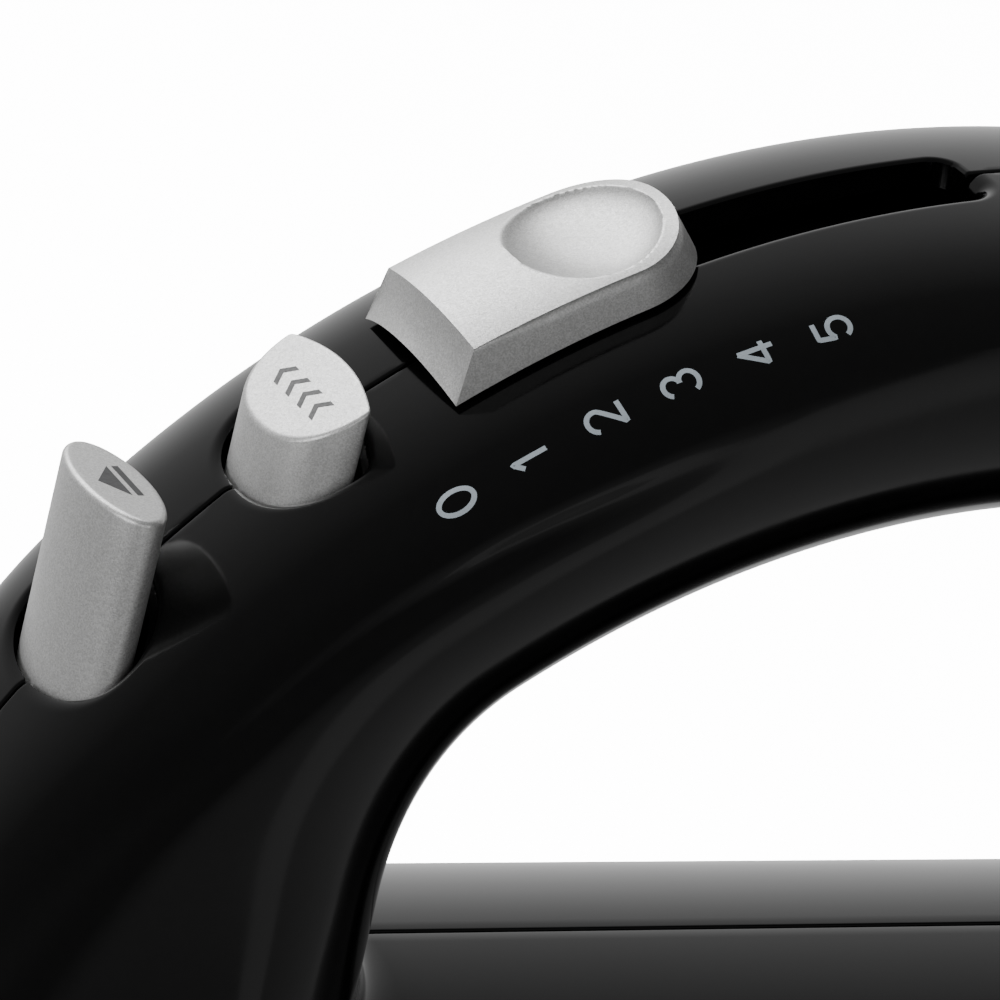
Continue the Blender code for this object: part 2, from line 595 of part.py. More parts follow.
tube_ring("rotor_core", "X", (0.0, mz), 1.5, 24.5, 14.6, 2.8, "lamination", 24)
turned("rotor_winding_front", "X", (0.0, mz), [(9.0, 1.1), (12.2, 0.6), (11.6, -4.5), (6.0, -6.5), (2.8, -6.5), (2.8, 1.1)], "copper", 18, ring=True)
turned("rotor_winding_rear", "X", (0.0, mz), [(6.0, 32.0), (11.6, 30.0), (12.2, 25.4), (9.0, 24.9), (2.8, 24.9), (2.8, 32.0)], "copper", 18, ring=True)
turned("commutator", "X", (0.0, mz), [(9.4, 47.5), (9.4, 37.0), (10.6, 37.0), (10.6, 35.0), (2.8, 35.0), (2.8, 47.5)], "copper", 20, ring=True)
for tag, s in (("left", -1), ("right", 1)):
    lo, hi = sorted((s * 9.8, s * 22.0))
    box("carbon_brush_" + tag, (39.5, lo, mz - 3.0), (45.5, hi, mz + 3.0), "carbon")
    lo, hi = sorted((s * 12.0, s * 27.0))
    h = box("brush_holder_" + tag, (37.6, lo, mz - 4.9), (47.4, hi, mz + 4.9), "bronze")
    lo, hi = sorted((s * 11.0, s * 25.4))
    boolean(h, box("brush_bore_" + tag, (39.1, lo, mz - 3.4), (45.9, hi, mz + 3.4), None))
# fan: back plate, hub and blades
fan = tube_ring("cooling_fan", "X", (0.0, mz), -13.4, -11.6, 25.0, 2.8, "white_nylon", 24)
boolean(fan, tube_ring("fan_hub", "X", (0.0, mz), -22.0, -12.0, 5.4, 2.8, None, 16), "UNION")
for k in range(9):
    bl = box("fan_blade_%d" % k, (-21.0, -0.6, 8.0), (-12.6, 0.6, 24.2), None)
    bl.matrix_world = Matrix.Translation((0, 0, mz * MM)) @ Matrix.Rotation(2 * math.pi * k / 9.0, 4, "X") \
        @ Matrix.Translation((-16.8 * MM, 0, 16.1 * MM)) @ Matrix.Rotation(math.radians(18), 4, "X")
    boolean(fan, bl, "UNION")
for tag, a in (("front", -31.5), ("rear", 54.5)):
    holes = [circle_pts(0.0, mz, 6.3, 16)] + [circle_pts(u, v, 2.0, 10) for u, v in BOLTS] \
        + [circle_pts(u, v + mz, 5.0, 10) for u, v in ((16.0, -9.5), (-16.0, 9.5), (13.0, 11.5), (-13.0, -11.5))]
    plate("motor_bracket_" + tag, [round_rect(-29.0, mz - 20.5, 29.0, mz + 20.5, 6.0, 3)] + holes, "YZ", a, a + 3.0, "zinc_steel")
    tube_ring("bearing_bush_" + tag, "X", (0.0, mz), a - 2.5, a + 5.5, 6.0, 2.8, "bronze", 18)
for n, (u, v) in enumerate(BOLTS):
    turned("motor_bolt_%d" % (n + 1), "X", (u, v), [(0.0, 61.0), (3.0, 61.0), (3.0, 57.9), (1.6, 57.9), (1.6, -33.5), (0.0, -33.5)], "zinc_steel", 10)

# ---------------------------------------------------------------- gear drive
worm = tube_ring("worm", "X", (0.0, mz), -81.5, -62.5, 3.75, 2.8, "steel", 14)
bm = bmesh.new()
turns, seg = 4.0, 12
prev = None
first = last = None
n_w = int(turns * seg)
for i in range(n_w + 1):
    phi = 2.0 * math.pi * (i / seg - turns / 2.0)         # 0 at the middle of the worm
    x = WHEEL_X + PITCH * phi / (2.0 * math.pi)
    a = phi + math.pi                                       # crest faces the left wheel at the middle
    fade = min(1.0, i / 4.0, (n_w - i) / 4.0)
    crest = 3.95 + 1.45 * fade
    ring = []
    for r, off in ((3.3, -0.95), (crest, -0.36), (crest, 0.36), (3.3, 0.95)):
        ring.append(bm.verts.new(((x + off) * MM, r * math.cos(a) * MM, (mz + r * math.sin(a)) * MM)))
    if prev:
        for j in range(4):
            bm.faces.new((prev[j], prev[(j + 1) % 4], ring[(j + 1) % 4], ring[j]))
    else:
        first = ring
    prev = ring
bm.faces.new(first[::-1])
bm.faces.new(prev)
ridge = mesh_obj("worm_ridge", bm, None)
boolean(worm, ridge, "UNION")

for tag, s in (("left", -1), ("right", 1)):
    cy = s * WHEEL_Y
    off = 0.5 if s < 0 else 0.0                             # a gap faces the crest, a tooth the root
    pts = []
    for k in range(WHEEL_TEETH):
        for da, r in ((-0.34, 11.75), (-0.14, 13.75), (0.14, 13.75), (0.34, 11.75)):
            t = 2 * math.pi * (k + off + da) / WHEEL_TEETH
            pts.append((r * math.cos(t), r * math.sin(t)))
    w = plate("worm_wheel_" + tag, [pts, circle_pts(0, 0, 5.3, 20)], "XY", -4.0, 4.0, "white_nylon")
    twist = PITCH / (2 * math.pi * WORM_R) / WHEEL_R        # radians per mm of face width
    for v in w.data.vertices:
        v.co = Matrix.Rotation(twist * v.co.z / MM, 3, "Z") @ v.co
    w.location = Vector((WHEEL_X, cy, mz)) * MM
    turned("drive_sleeve_" + tag, "Z", (WHEEL_X, cy),
           [(5.0, -71.6), (5.0, mz - 4.5), (7.6, mz - 4.5), (7.6, mz - 6.5), (5.0, mz - 6.5), (5.0, -121.0), (3.4, -121.0), (3.4, -71.6)],
           "steel", 16, ring=True)
    tube_ring("sleeve_bush_" + tag, "Z", (WHEEL_X, cy), -109.5, -102.5, 6.9, 5.3, "bronze", 16)

frame_pts = [(-91, -9.5), (-84, -20), (-75, -26.5), (-50, -28), (-50, 28), (-75, 26.5), (-84, 20), (-91, 9.5)]
gf = plate("gearbox_frame", [frame_pts] + [circle_pts(WHEEL_X, s * WHEEL_Y, 7.2, 18) for s in (-1, 1)], "XY", -108.0, -105.0, "grey_plastic")
boolean(gf, plate("gear_front_wall", [round_rect(-8.5, -107.0, 8.5, -75.0, 1.5, 2), circle_pts(0, mz, 5.6, 16)], "YZ", -90.8, -87.6, None), "UNION")
boolean(gf, plate("gear_rear_wall", [round_rect(-27.0, -107.0, 27.0, -75.0, 1.5, 2), circle_pts(0, mz, 4.2, 14)], "YZ", -54.0, -50.6, None), "UNION")
tube_ring("thrust_bush", "X", (0.0, mz), -91.6, -83.4, 5.3, 2.8, "bronze", 16)
COVER_SCREWS = [(-52.3, -20.0), (-52.3, 20.0)]
plate("gearbox_cover", [[(-91, -9), (-84, -19), (-76, -25), (-50, -27), (-50, 27), (-76, 25), (-84, 19), (-91, 9)]]
      + [circle_pts(WHEEL_X, s * WHEEL_Y, 5.4, 18) for s in (-1, 1)]
      + [circle_pts(x, y, 1.6, 10) for x, y in COVER_SCREWS], "XY", -74.7, -72.4, "grey_plastic")
for n, (x, y) in enumerate(COVER_SCREWS):
    boolean(gf, cylinder("cover_pilot_%d" % n, "Z", (x, y), -84.0, -70.0, 1.3, None, seg=10))
    turned("cover_screw_%d" % (n + 1), "Z", (x, y), [(0.0, -70.2), (2.6, -70.2), (2.6, -72.1), (1.0, -72.1), (1.0, -83.0), (0.0, -83.0)], "zinc_steel", 10)
plate("socket_plate", [stadium(WHEEL_X, 0.0, WHEEL_Y, 13.5, 10)]
      + [circle_pts(WHEEL_X, s * WHEEL_Y, 6.2, 18) for s in (-1, 1)], "XY", -127.0, -115.0, "dark_plastic")

# ---------------------------------------------------------------- beaters
for tag, s, turn in (("left", -1, 0.0), ("right", 1, 45.0)):
    cy = s * WHEEL_Y
    turned("beater_shaft_" + tag, "Z", (WHEEL_X, cy),
           [(0.0, -80.9), (2.0, -80.9), (3.0, -82.4), (3.0, -128.2), (6.6, -128.2), (6.6, -130.2), (3.0, -132.6), (3.0, -147.0),
            (6.4, -149.0), (6.4, -152.0), (2.0, -152.0), (0.0, -153.5)], "steel", 16)
    for letter, add, low in (("a", 0.0, 0.0), ("b", 90.0, 3.1)):
        pts = []
        n = 20
        for i in range(n + 1):
            u = -1.0 + 2.0 * i / n                          # -1 .. 1 along the loop
            q = abs(u)
            # quarter profile: q = 1 at the shaft, q = 0 at the bottom centre
            ang = q * math.pi * 0.5
            if q > 0.5:
                t = (q - 0.5) / 0.5
                r = 4.7 + (BEATER_R - 4.7) * math.cos(t * math.pi / 2.0) ** 0.9
                z = -198.0 + (BEATER_TOP + 198.0) * t ** 1.15
            else:
                t = q / 0.5
                r = BEATER_R * math.sin(t * math.pi / 2.0) ** 0.8
                z = -198.0 + (BEATER_LOW + low + 198.0) * math.cos(t * math.pi / 2.0) ** 0.75
            d = math.radians(turn + add)
            sg = 1.0 if u >= 0 else -1.0
            pts.append((WHEEL_X + sg * r * math.cos(d), cy + sg * r * math.sin(d), z))
        wire("beater_loop_%s_%s" % (tag, letter), pts, WIRE_R, "steel")

# ---------------------------------------------------------------- electrics
plate("circuit_board", [round_rect(-22.0, -109.0, 22.0, -69.0, 2.0, 2), circle_pts(-17.0, -73.0, 1.6, 8), circle_pts(17.0, -105.0, 1.6, 8)],
      "YZ", 70.0, 71.6, "board_green")
box("suppression_capacitor", (71.9, -13.0, -84.0), (81.0, 5.0, -72.0), "capacitor_yellow", 1.0)
box("speed_chip_heatsink", (71.9, -12.0, -104.0), (80.0, 12.0, -92.0), "zinc_steel", 0.5)

# ---------------------------------------------------------------- rear end
plate("heel_pad", [round_rect(-24.0, -112.0, 24.0, -66.0, 7.0, 4)], "YZ", REAR_X + 0.8, REAR_X + 2.8, "rubber")
turned("cord_gland", "X", (0.0, -38.0), [(5.2, 99.4), (6.0, 98.0), (7.6, 95.8), (7.6, 94.6), (6.0, 94.2), (6.0, 86.0), (3.6, 86.0), (3.6, 99.4)], "rubber", 16, ring=True)
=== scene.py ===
import json
import math

import bmesh
import bpy
import numpy as np
from mathutils import Matrix, Vector


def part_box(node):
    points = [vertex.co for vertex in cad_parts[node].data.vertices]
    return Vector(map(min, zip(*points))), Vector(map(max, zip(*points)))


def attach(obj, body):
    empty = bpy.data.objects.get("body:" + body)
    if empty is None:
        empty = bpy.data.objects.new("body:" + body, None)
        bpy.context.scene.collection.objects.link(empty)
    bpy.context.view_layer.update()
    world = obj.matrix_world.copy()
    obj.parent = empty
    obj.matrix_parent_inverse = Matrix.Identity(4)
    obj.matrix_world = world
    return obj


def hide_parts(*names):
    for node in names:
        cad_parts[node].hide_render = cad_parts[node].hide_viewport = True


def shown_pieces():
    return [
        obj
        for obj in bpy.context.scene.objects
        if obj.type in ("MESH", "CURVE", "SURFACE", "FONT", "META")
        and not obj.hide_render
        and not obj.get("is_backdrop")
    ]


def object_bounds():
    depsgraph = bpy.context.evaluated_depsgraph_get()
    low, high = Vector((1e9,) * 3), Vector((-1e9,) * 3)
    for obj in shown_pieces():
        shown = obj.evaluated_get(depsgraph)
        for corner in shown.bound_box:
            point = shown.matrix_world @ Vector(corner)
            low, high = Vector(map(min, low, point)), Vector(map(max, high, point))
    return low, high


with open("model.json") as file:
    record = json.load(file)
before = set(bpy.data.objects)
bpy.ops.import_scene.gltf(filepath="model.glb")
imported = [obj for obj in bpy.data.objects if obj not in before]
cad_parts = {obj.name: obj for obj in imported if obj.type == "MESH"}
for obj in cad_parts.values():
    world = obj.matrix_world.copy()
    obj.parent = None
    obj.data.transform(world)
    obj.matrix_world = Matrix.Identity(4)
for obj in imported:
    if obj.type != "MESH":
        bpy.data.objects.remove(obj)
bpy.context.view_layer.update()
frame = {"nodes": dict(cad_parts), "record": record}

MM = 0.001

# ------------------------------------------------------------ shape of the housing (mm)
ARC_R, ARC_CZ, ARC_TIGHTEN = 110.0, -94.5, 0.028
HOLE_R, HOLE_FRONT, HOLE_REAR = 82.8, -56.5, 61.5
GRIP_HALF, CROWN_DROP, CROWN_EXP, BELLY_DROP, BELLY_EXP = 18.64, 8.7, 2.46, 18.8, 2.3
REAR_X, REAR_EXP = 98.0, 2.35
BODY_Z, BODY_HALF, BODY_H, BODY_TOP_EXP, BODY_LOW_EXP = -89.5, 38.5, 35.5, 2.1, 2.8
NOSE_START, NOSE_LEN, NOSE_EXP = -50.0, 54.0, 2.2
HEEL_START, HEEL_LEN, HEEL_EXP = 84.0, 14.0, 5.0
FLARE, FILLET, WALL, SEAM = 7.0, 4.0, 2.4, 0.15
SLOT_FRONT, SLOT_REAR, SLOT_HALF = -33.6, -8.0, 3.6
EJECT_X, EJECT_RX, EJECT_RY, EJECT_TOP = -84.15, 3.05, 7.5, -14.5
TURBO_X0, TURBO_X1, TURBO_HALF, TURBO_BULGE, TURBO_TOP, TURBO_SLOPE = -73.4, -66.9, 7.43, 1.1, -4.7, 40.0
WHEEL_X, WHEEL_Y = -72.0, 17.5
CASE_SCREWS = [(-68.0, -56.5), (-41.0, -114.5), (84.0, -112.0), (76.0, -29.0), (40.6, -7.5)]
STATIONS = [((0, -12), (0, 15.5)), ((-15, -13), (-19.5, 13.8)), ((-30, -17.3), (-38.5, 8.5)),
            ((-44, -24.5), (-57, -0.8)), ((-53.5, -32.5), (-73, -13)), ((-57, -39), (-86, -30)),
            ((-57, -45), (-96, -50)), ((-57, -50), (-102, -72)), ((-55.5, -53.6), (-104, -95)),
            ((-52, -54), (-97, -113)), ((-47, -54), (-80, -123)), ((-39, -54), (-58, -125)),
            ((-24, -54), (-34, -125)), ((0, -54), (0, -125)), ((24, -54), (32, -125)),
            ((40, -54), (56, -125)), ((50, -54), (76, -124.5)), ((57, -54), (94, -116)),
            ((61, -51), (98, -95)), ((62, -46), (98, -70)), ((61.5, -40), (93, -42)),
            ((57, -33), (79, -18)), ((44, -24.5), (57, -1)), ((30, -17.3), (38.5, 8)), ((15, -13), (19.5, 13.8))]


def sstep(a, b, v):
    t = np.clip((v - a) / (b - a), 0.0, 1.0)
    return t * t * (3.0 - 2.0 * t)


def smax(a, b, k):
    h = np.maximum(k - np.abs(a - b), 0.0) / k
    return np.maximum(a, b) + h * h * k * 0.25


def smin(a, b, k):
    return -smax(-a, -b, k)


def arc_radius(th):
    front = ARC_R * (1.0 - ARC_TIGHTEN * np.maximum(0.0, -th - 0.2) ** 2)
    rear = (np.abs(np.sin(th) / REAR_X) ** REAR_EXP + np.abs(np.cos(th) / ARC_R) ** REAR_EXP) ** (-1.0 / REAR_EXP)
    w = sstep(math.radians(8), math.radians(62), th)
    return np.where(th < 0.0, front, ARC_R * (1.0 - w) + rear * w)


def field(x, y, z):
    """About the signed distance to the housing's outer surface, in mm, negative inside."""
    th = np.arctan2(x, z - ARC_CZ)
    rho = np.hypot(x, z - ARC_CZ)
    d_o = arc_radius(th) - rho
    d_i = smax(smax(rho - HOLE_R, HOLE_FRONT - x, 8.0), x - HOLE_REAR, 10.0)
    flare = FLARE * sstep(math.radians(-46), math.radians(-84), th) * sstep(3.0, 26.0, d_o) \
        + 5.0 * sstep(math.radians(50), math.radians(80), th) * sstep(3.0, 20.0, d_o)
    a = GRIP_HALF + flare
    v = np.abs(y) / a
    uo = np.maximum(0.0, 1.0 - d_o / CROWN_DROP)
    ui = np.maximum(0.0, 1.0 - d_i / BELLY_DROP)
    f_o = (uo ** CROWN_EXP + v ** CROWN_EXP) ** (1.0 / CROWN_EXP) - 1.0
    f_i = (ui ** BELLY_EXP + v ** BELLY_EXP) ** (1.0 / BELLY_EXP) - 1.0
    f_h = np.maximum(np.maximum(f_o, f_i) * BELLY_DROP, -98.0 - z)
    zt = (z - BODY_Z) / BODY_H
    p = np.where(zt > 0.0, BODY_TOP_EXP, BODY_LOW_EXP)
    r = (np.abs(y / BODY_HALF) ** p + np.abs(zt) ** p) ** (1.0 / p)
    xn = np.maximum(0.0, (NOSE_START - x) / NOSE_LEN)
    xh = np.maximum(0.0, (x - HEEL_START) / HEEL_LEN)
    f_b = np.where(x < 0.0, (r ** NOSE_EXP + xn ** NOSE_EXP) ** (1.0 / NOSE_EXP),
                   (r ** HEEL_EXP + xh ** HEEL_EXP) ** (1.0 / HEEL_EXP)) - 1.0
    return smin(f_h, f_b * 36.0, FILLET)


def gradient(p, h=0.02):
    """Unit normals of the outer surface at points p (n, 3)."""
    x, y, z = p[:, 0], p[:, 1], p[:, 2]
    g = np.stack([field(x + h, y, z) - field(x - h, y, z), field(x, y + h, z) - field(x, y - h, z),
                  field(x, y, z + h) - field(x, y, z - h)], -1) / (2 * h)
    return g


def normals(p):
    g = gradient(p)
    return g / np.maximum(np.linalg.norm(g, axis=1)[:, None], 1e-9)


def snap(p, rounds=3):
    """Moves points onto the outer surface, along its gradient."""
    for _ in range(rounds):
        g = gradient(p)
        f = field(p[:, 0], p[:, 1], p[:, 2])
        p = p - np.clip(f / np.maximum((g ** 2).sum(1), 1e-6), -1.0, 1.0)[:, None] * g
    return p


def periodic_spline(keys, n):
    keys = np.asarray(keys, float)
    m = len(keys)
    mat = np.zeros((m, m))
    for i in range(m):
        mat[i, i] = 4.0
        mat[i, (i - 1) % m] = 1.0
        mat[i, (i + 1) % m] = 1.0
    rhs = 3.0 * (np.roll(keys, -1, axis=0) - np.roll(keys, 1, axis=0))
    tang = np.linalg.solve(mat, rhs)
    t = np.arange(n) * m / float(n)
    i = np.floor(t).astype(int) % m
    u = (t - np.floor(t))[:, None]
    j = (i + 1) % m
    return ((2 * u ** 3 - 3 * u ** 2 + 1) * keys[i] + (u ** 3 - 2 * u ** 2 + u) * tang[i]
            + (-2 * u ** 3 + 3 * u ** 2) * keys[j] + (u ** 3 - u ** 2) * tang[j])


EDGE_R = 0.28                     # rounded edge of each half along the seam
EDGE_Y = [0.0, 0.03, 0.09, 0.18, EDGE_R]


def edge_depth(y):
    t = np.clip((SEAM + EDGE_R - y) / EDGE_R, 0.0, 1.0)
    return EDGE_R - EDGE_R * np.sqrt(np.maximum(0.0, 1.0 - t * t))


CREASE = np.array([(-99.5, -64.0), (-95.6, -51.1), (-87.6, -37.0), (-79.0, -28.0), (-70.4, -19.1), (-60.5, -11.9), (-50.0, -6.2), (-40.1, -1.2), (-31.0, 2.2)])


def open_spline(keys, n):
    """Smooth curve through the keys (Catmull-Rom), n points per span."""
    k = np.vstack([2 * keys[0] - keys[1], keys, 2 * keys[-1] - keys[-2]])
    out = []
    for i in range(1, len(k) - 2):
        t = np.linspace(0.0, 1.0, n, endpoint=False)[:, None]
        a, b, c, d = k[i - 1], k[i], k[i + 1], k[i + 2]
        out.append(0.5 * (2 * b + (c - a) * t + (2 * a - 5 * b + 4 * c - d) * t ** 2 + (3 * b - a - 3 * c + d) * t ** 3))
    out.append(k[-2][None])
    return np.vstack(out)


CREASE_LINE = open_spline(CREASE, 24)
CREASE_TAN = np.gradient(CREASE_LINE, axis=0)
CREASE_TAN /= np.linalg.norm(CREASE_TAN, axis=1)[:, None]


def crease_depth(p):
    """Shallow styling groove along the shoulder, fading out on the grip and on the nose."""
    out = np.zeros(len(p))
    m = (np.abs(p[:, 1]) > 5.0) & (p[:, 0] < -30.0) & (p[:, 2] > -64.0)
    if not m.any():
        return out
    q = p[m][:, [0, 2]]
    d = q[:, None, :] - CREASE_LINE[None]
    i = np.argmin((d ** 2).sum(-1), axis=1)
    v = q - CREASE_LINE[i]
    t = CREASE_TAN[i]
    w = t[:, 0] * v[:, 1] - t[:, 1] * v[:, 0]            # positive outside of the line
    groove = 0.62 * np.exp(-(w / 1.5) ** 2) + 0.25 * np.where(w < 0, np.exp(-(w / 5.0) ** 2), np.exp(-(w / 1.5) ** 2))
    fade = sstep(-36.0, -62.0, p[m, 0]) * sstep(-62.0, -50.0, p[m, 2]) * sstep(6.0, 10.0, np.abs(p[m, 1]))
    out[m] = groove * fade
    return out


def d_outline(x0, x1, half, grow=0.0, n=96):
    """Plan of the boost button, evenly spaced points."""
    x0, x1, half = x0 - grow, x1 + grow, half + grow
    corner = x1 - TURBO_BULGE
    pts = []
    for i in range(161):
        t = math.pi * (i / 160.0 - 0.5)
        pts.append((corner - (corner - x0) * abs(math.cos(t)) ** 0.87, half * math.copysign(abs(math.sin(t)) ** 0.87, t)))
    for i in range(1, 60):
        y = half - 2.0 * half * i / 60.0
        pts.append((x1 - TURBO_BULGE * (y / half) ** 2, y))
    return even(np.array(pts), n)


def even(pts, n):
    """n points evenly spaced along a closed outline."""
    q = np.vstack([pts, pts[:1]])
    s = np.concatenate([[0.0], np.cumsum(np.linalg.norm(np.diff(q, axis=0), axis=1))])
    t = np.linspace(0.0, s[-1], n, endpoint=False)
    return np.stack([np.interp(t, s, q[:, k]) for k in range(q.shape[1])], -1)


def soften(pts, rounds):
    """Rounds the corners of a closed outline."""
    for _ in range(rounds):
        pts = 0.25 * np.roll(pts, 1, 0) + 0.5 * pts + 0.25 * np.roll(pts, -1, 0)
    return pts


def inset(pts, d):
    """Closed outline moved inwards by d along its normals (counter-clockwise outline)."""
    t = np.roll(pts, -1, 0) - np.roll(pts, 1, 0)
    t /= np.linalg.norm(t, axis=1)[:, None]
    n = np.stack([-t[:, 1], t[:, 0]], -1)
    return pts + n * d


def ccw(pts):
    a = 0.5 * np.sum(pts[:, 0] * np.roll(pts[:, 1], -1) - np.roll(pts[:, 0], -1) * pts[:, 1])
    return pts if a > 0 else pts[::-1].copy()


def ellipse(cx, rx, ry, n=96):
    t = np.linspace(0.0, 2 * math.pi, 720, endpoint=False)
    return even(np.stack([cx + rx * np.cos(t), ry * np.sin(t)], -1), n)


TURBO_PLAN = soften(ccw(d_outline(TURBO_X0, TURBO_X1, TURBO_HALF, 0.0, 260)), 9)
EJECT_PLAN = ccw(ellipse(EJECT_X, EJECT_RX, EJECT_RY, 160))
HOLES = [inset(TURBO_PLAN, -0.55), inset(EJECT_PLAN, -0.55)]


def outline_distance(p, outline):
    """Signed distance in plan to a closed outline, positive outside."""
    best = np.full(len(p), 1e9)
    inside = np.zeros(len(p), bool)
    for a, b in zip(outline, np.roll(outline, -1, 0)):
        d = b - a
        q = p - a
        t = np.clip((q @ d) / (d @ d), 0.0, 1.0)
        best = np.minimum(best, np.hypot(*(q - t[:, None] * d).T))
        cross = (a[1] > p[:, 1]) != (b[1] > p[:, 1])
        xi = (b[0] - a[0]) * (p[:, 1] - a[1]) / (b[1] - a[1] if b[1] != a[1] else 1e-12) + a[0]
        inside ^= cross & (p[:, 0] < xi)
    return np.where(inside, -best, best)


RIM_R = 0.9


def rim_depth(p):
    """Rounded rim of the two button openings."""
    out = np.zeros(len(p))
    m = (p[:, 0] > -92.0) & (p[:, 0] < -62.0) & (p[:, 2] > -34.0) & (np.abs(p[:, 1]) < 12.0)
    if m.any():
        q = p[m]
        d = np.minimum(outline_distance(q[:, :2], HOLES[0]), outline_distance(q[:, :2], HOLES[1]))
        t = np.clip((RIM_R - d) / RIM_R, 0.0, 1.0)
        out[m] = RIM_R - RIM_R * np.sqrt(np.maximum(0.0, 1.0 - t * t))
    return out


SLOT_CORNER = 2.0


def slot_rim_depth(p, side):
    """Rounded edge of the slot, softer on the left."""
    th = np.degrees(np.arctan2(p[:, 0], p[:, 2] - ARC_CZ))
    along = np.maximum(SLOT_FRONT - th, th - SLOT_REAR) * math.radians(1.0) * ARC_R
    across = np.abs(p[:, 1]) - SLOT_HALF
    along, across = along + SLOT_CORNER, across + SLOT_CORNER
    d = np.hypot(np.maximum(along, 0.0), np.maximum(across, 0.0)) + np.minimum(np.maximum(along, across), 0.0) - SLOT_CORNER
    r = (1.3 if side < 0 else 0.2) * sstep(-32.5, -29.0, th) + 0.2
    t = np.clip((r - d) / r, 0.0, 1.0)
    near = (np.hypot(p[:, 0], p[:, 2] - ARC_CZ) > 97.0) & (d < r)
    return np.where(near, r - r * np.sqrt(np.maximum(0.0, 1.0 - t * t)), 0.0)


# ------------------------------------------------------------ scene helpers
PIECES = bpy.data.collections.new("visual")
bpy.context.scene.collection.children.link(PIECES)
MAT = {}


def put(name, me, mat, body=None, replaces=(), smooth=30.0):
    o = bpy.data.objects.new(name, me)
    PIECES.objects.link(o)
    me.materials.clear()
    me.materials.append(MAT[mat])
    if smooth is not None:
        me.shade_smooth()
        me.set_sharp_from_angle(angle=math.radians(smooth))
    if body:
        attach(o, body)
    if replaces:
        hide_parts(*replaces)
    return o


def mesh_of(name, verts, faces):
    me = bpy.data.meshes.new(name)
    me.from_pydata([tuple(v) for v in np.asarray(verts, float) * MM], [], faces)
    me.update()
    return me


def grid_faces(rows, cols, base=0, wrap_r=False, wrap_c=False, flip=False):
    f = []
    for i in range(rows if wrap_r else rows - 1):
        k = (i + 1) % rows
        for j in range(cols if wrap_c else cols - 1):
            m = (j + 1) % cols
            q = (base + i * cols + j, base + k * cols + j, base + k * cols + m, base + i * cols + m)
            f.append(q[::-1] if flip else q)
    return f


def outward(me):
    bm = bmesh.new()
    bm.from_mesh(me)
    bmesh.ops.recalc_face_normals(bm, faces=bm.faces)
    bm.to_mesh(me)
    bm.free()
    return me


def rings_solid(name, rings, close_top=True, close_bottom=True):
    """Closed solid through equal rings, listed from the bottom up, with centre vertices as caps."""
    n = len(rings[0])
    verts = [v for ring in rings for v in ring]
    faces = grid_faces(len(rings), n, wrap_c=True)
    if close_bottom:
        verts.append(np.mean(rings[0], axis=0))
        c = len(verts) - 1
        faces += [(c, j, (j + 1) % n) for j in range(n)]
    if close_top:
        verts.append(np.mean(rings[-1], axis=0))
        c = len(verts) - 1
        b = (len(rings) - 1) * n
        faces += [(c, b + (j + 1) % n, b + j) for j in range(n)]
    return outward(mesh_of(name, verts, faces))


def lathe(name, axis, centre, profile, seg=64, ring=False):
    """Turned shape about an axis through centre; profile of (radius, position)."""
    prof = list(profile) + ([profile[0]] if ring else [])
    t = np.linspace(0, 2 * math.pi, seg, endpoint=False)
    rings = []
    for r, h in prof:
        r = max(r, 0.001)
        c, s = r * np.cos(t), r * np.sin(t)
        if axis == "Z":
            rings.append(np.stack([centre[0] + c, centre[1] + s, np.full(seg, h)], -1))
        elif axis == "X":
            rings.append(np.stack([np.full(seg, h), centre[0] + c, centre[1] + s], -1))
        else:
            rings.append(np.stack([centre[0] + c, np.full(seg, h), centre[1] + s], -1))
    if ring:
        verts = [v for g in rings[:-1] for v in g]
        faces = grid_faces(len(rings) - 1, seg, wrap_r=True, wrap_c=True)
        return outward(mesh_of(name, verts, faces))
    return rings_solid(name, rings)


def rounded(profile, r, seg=5):
    """Profile with its inner corners rounded."""
    p = [np.array(q, float) for q in profile]
    out = [p[0]]
    for a, b, c in zip(p[:-2], p[1:-1], p[2:]):
        u, v = a - b, c - b
        lu, lv = np.linalg.norm(u), np.linalg.norm(v)
        k = min(r, 0.45 * lu, 0.45 * lv)
        s, e = b + u / lu * k, b + v / lv * k
        for i in range(seg + 1):
            t = i / seg
            out.append((1 - t) ** 2 * s + 2 * t * (1 - t) * b + t * t * e)
    out.append(p[-1])
    return [tuple(q) for q in out]


def tube(name, pts, r, seg=16, cyclic=False, flat=None):
    """Round tube along points, with a steady twist-free frame."""
    pts = np.asarray(pts, float)
    n = len(pts)
    tan = np.gradient(pts, axis=0) if not cyclic else np.roll(pts, -1, 0) - np.roll(pts, 1, 0)
    tan /= np.linalg.norm(tan, axis=1)[:, None]
    ref = np.array([0.0, 0.0, 1.0]) if abs(tan[0][2]) < 0.9 else np.array([1.0, 0.0, 0.0])
    nrm = np.cross(tan[0], ref)
    nrm /= np.linalg.norm(nrm)
    rings = []
    th = np.linspace(0, 2 * math.pi, seg, endpoint=False)
    for i in range(n):
        nrm = nrm - tan[i] * (nrm @ tan[i])
        nrm /= np.linalg.norm(nrm)
        bi = np.cross(tan[i], nrm)
        rr = r[i] if np.ndim(r) else r
        rings.append(pts[i] + rr * (np.cos(th)[:, None] * nrm + np.sin(th)[:, None] * bi))
    if cyclic:
        verts = [v for g in rings for v in g]
        return outward(mesh_of(name, verts, grid_faces(n, seg, wrap_r=True, wrap_c=True)))
    return rings_solid(name, rings)


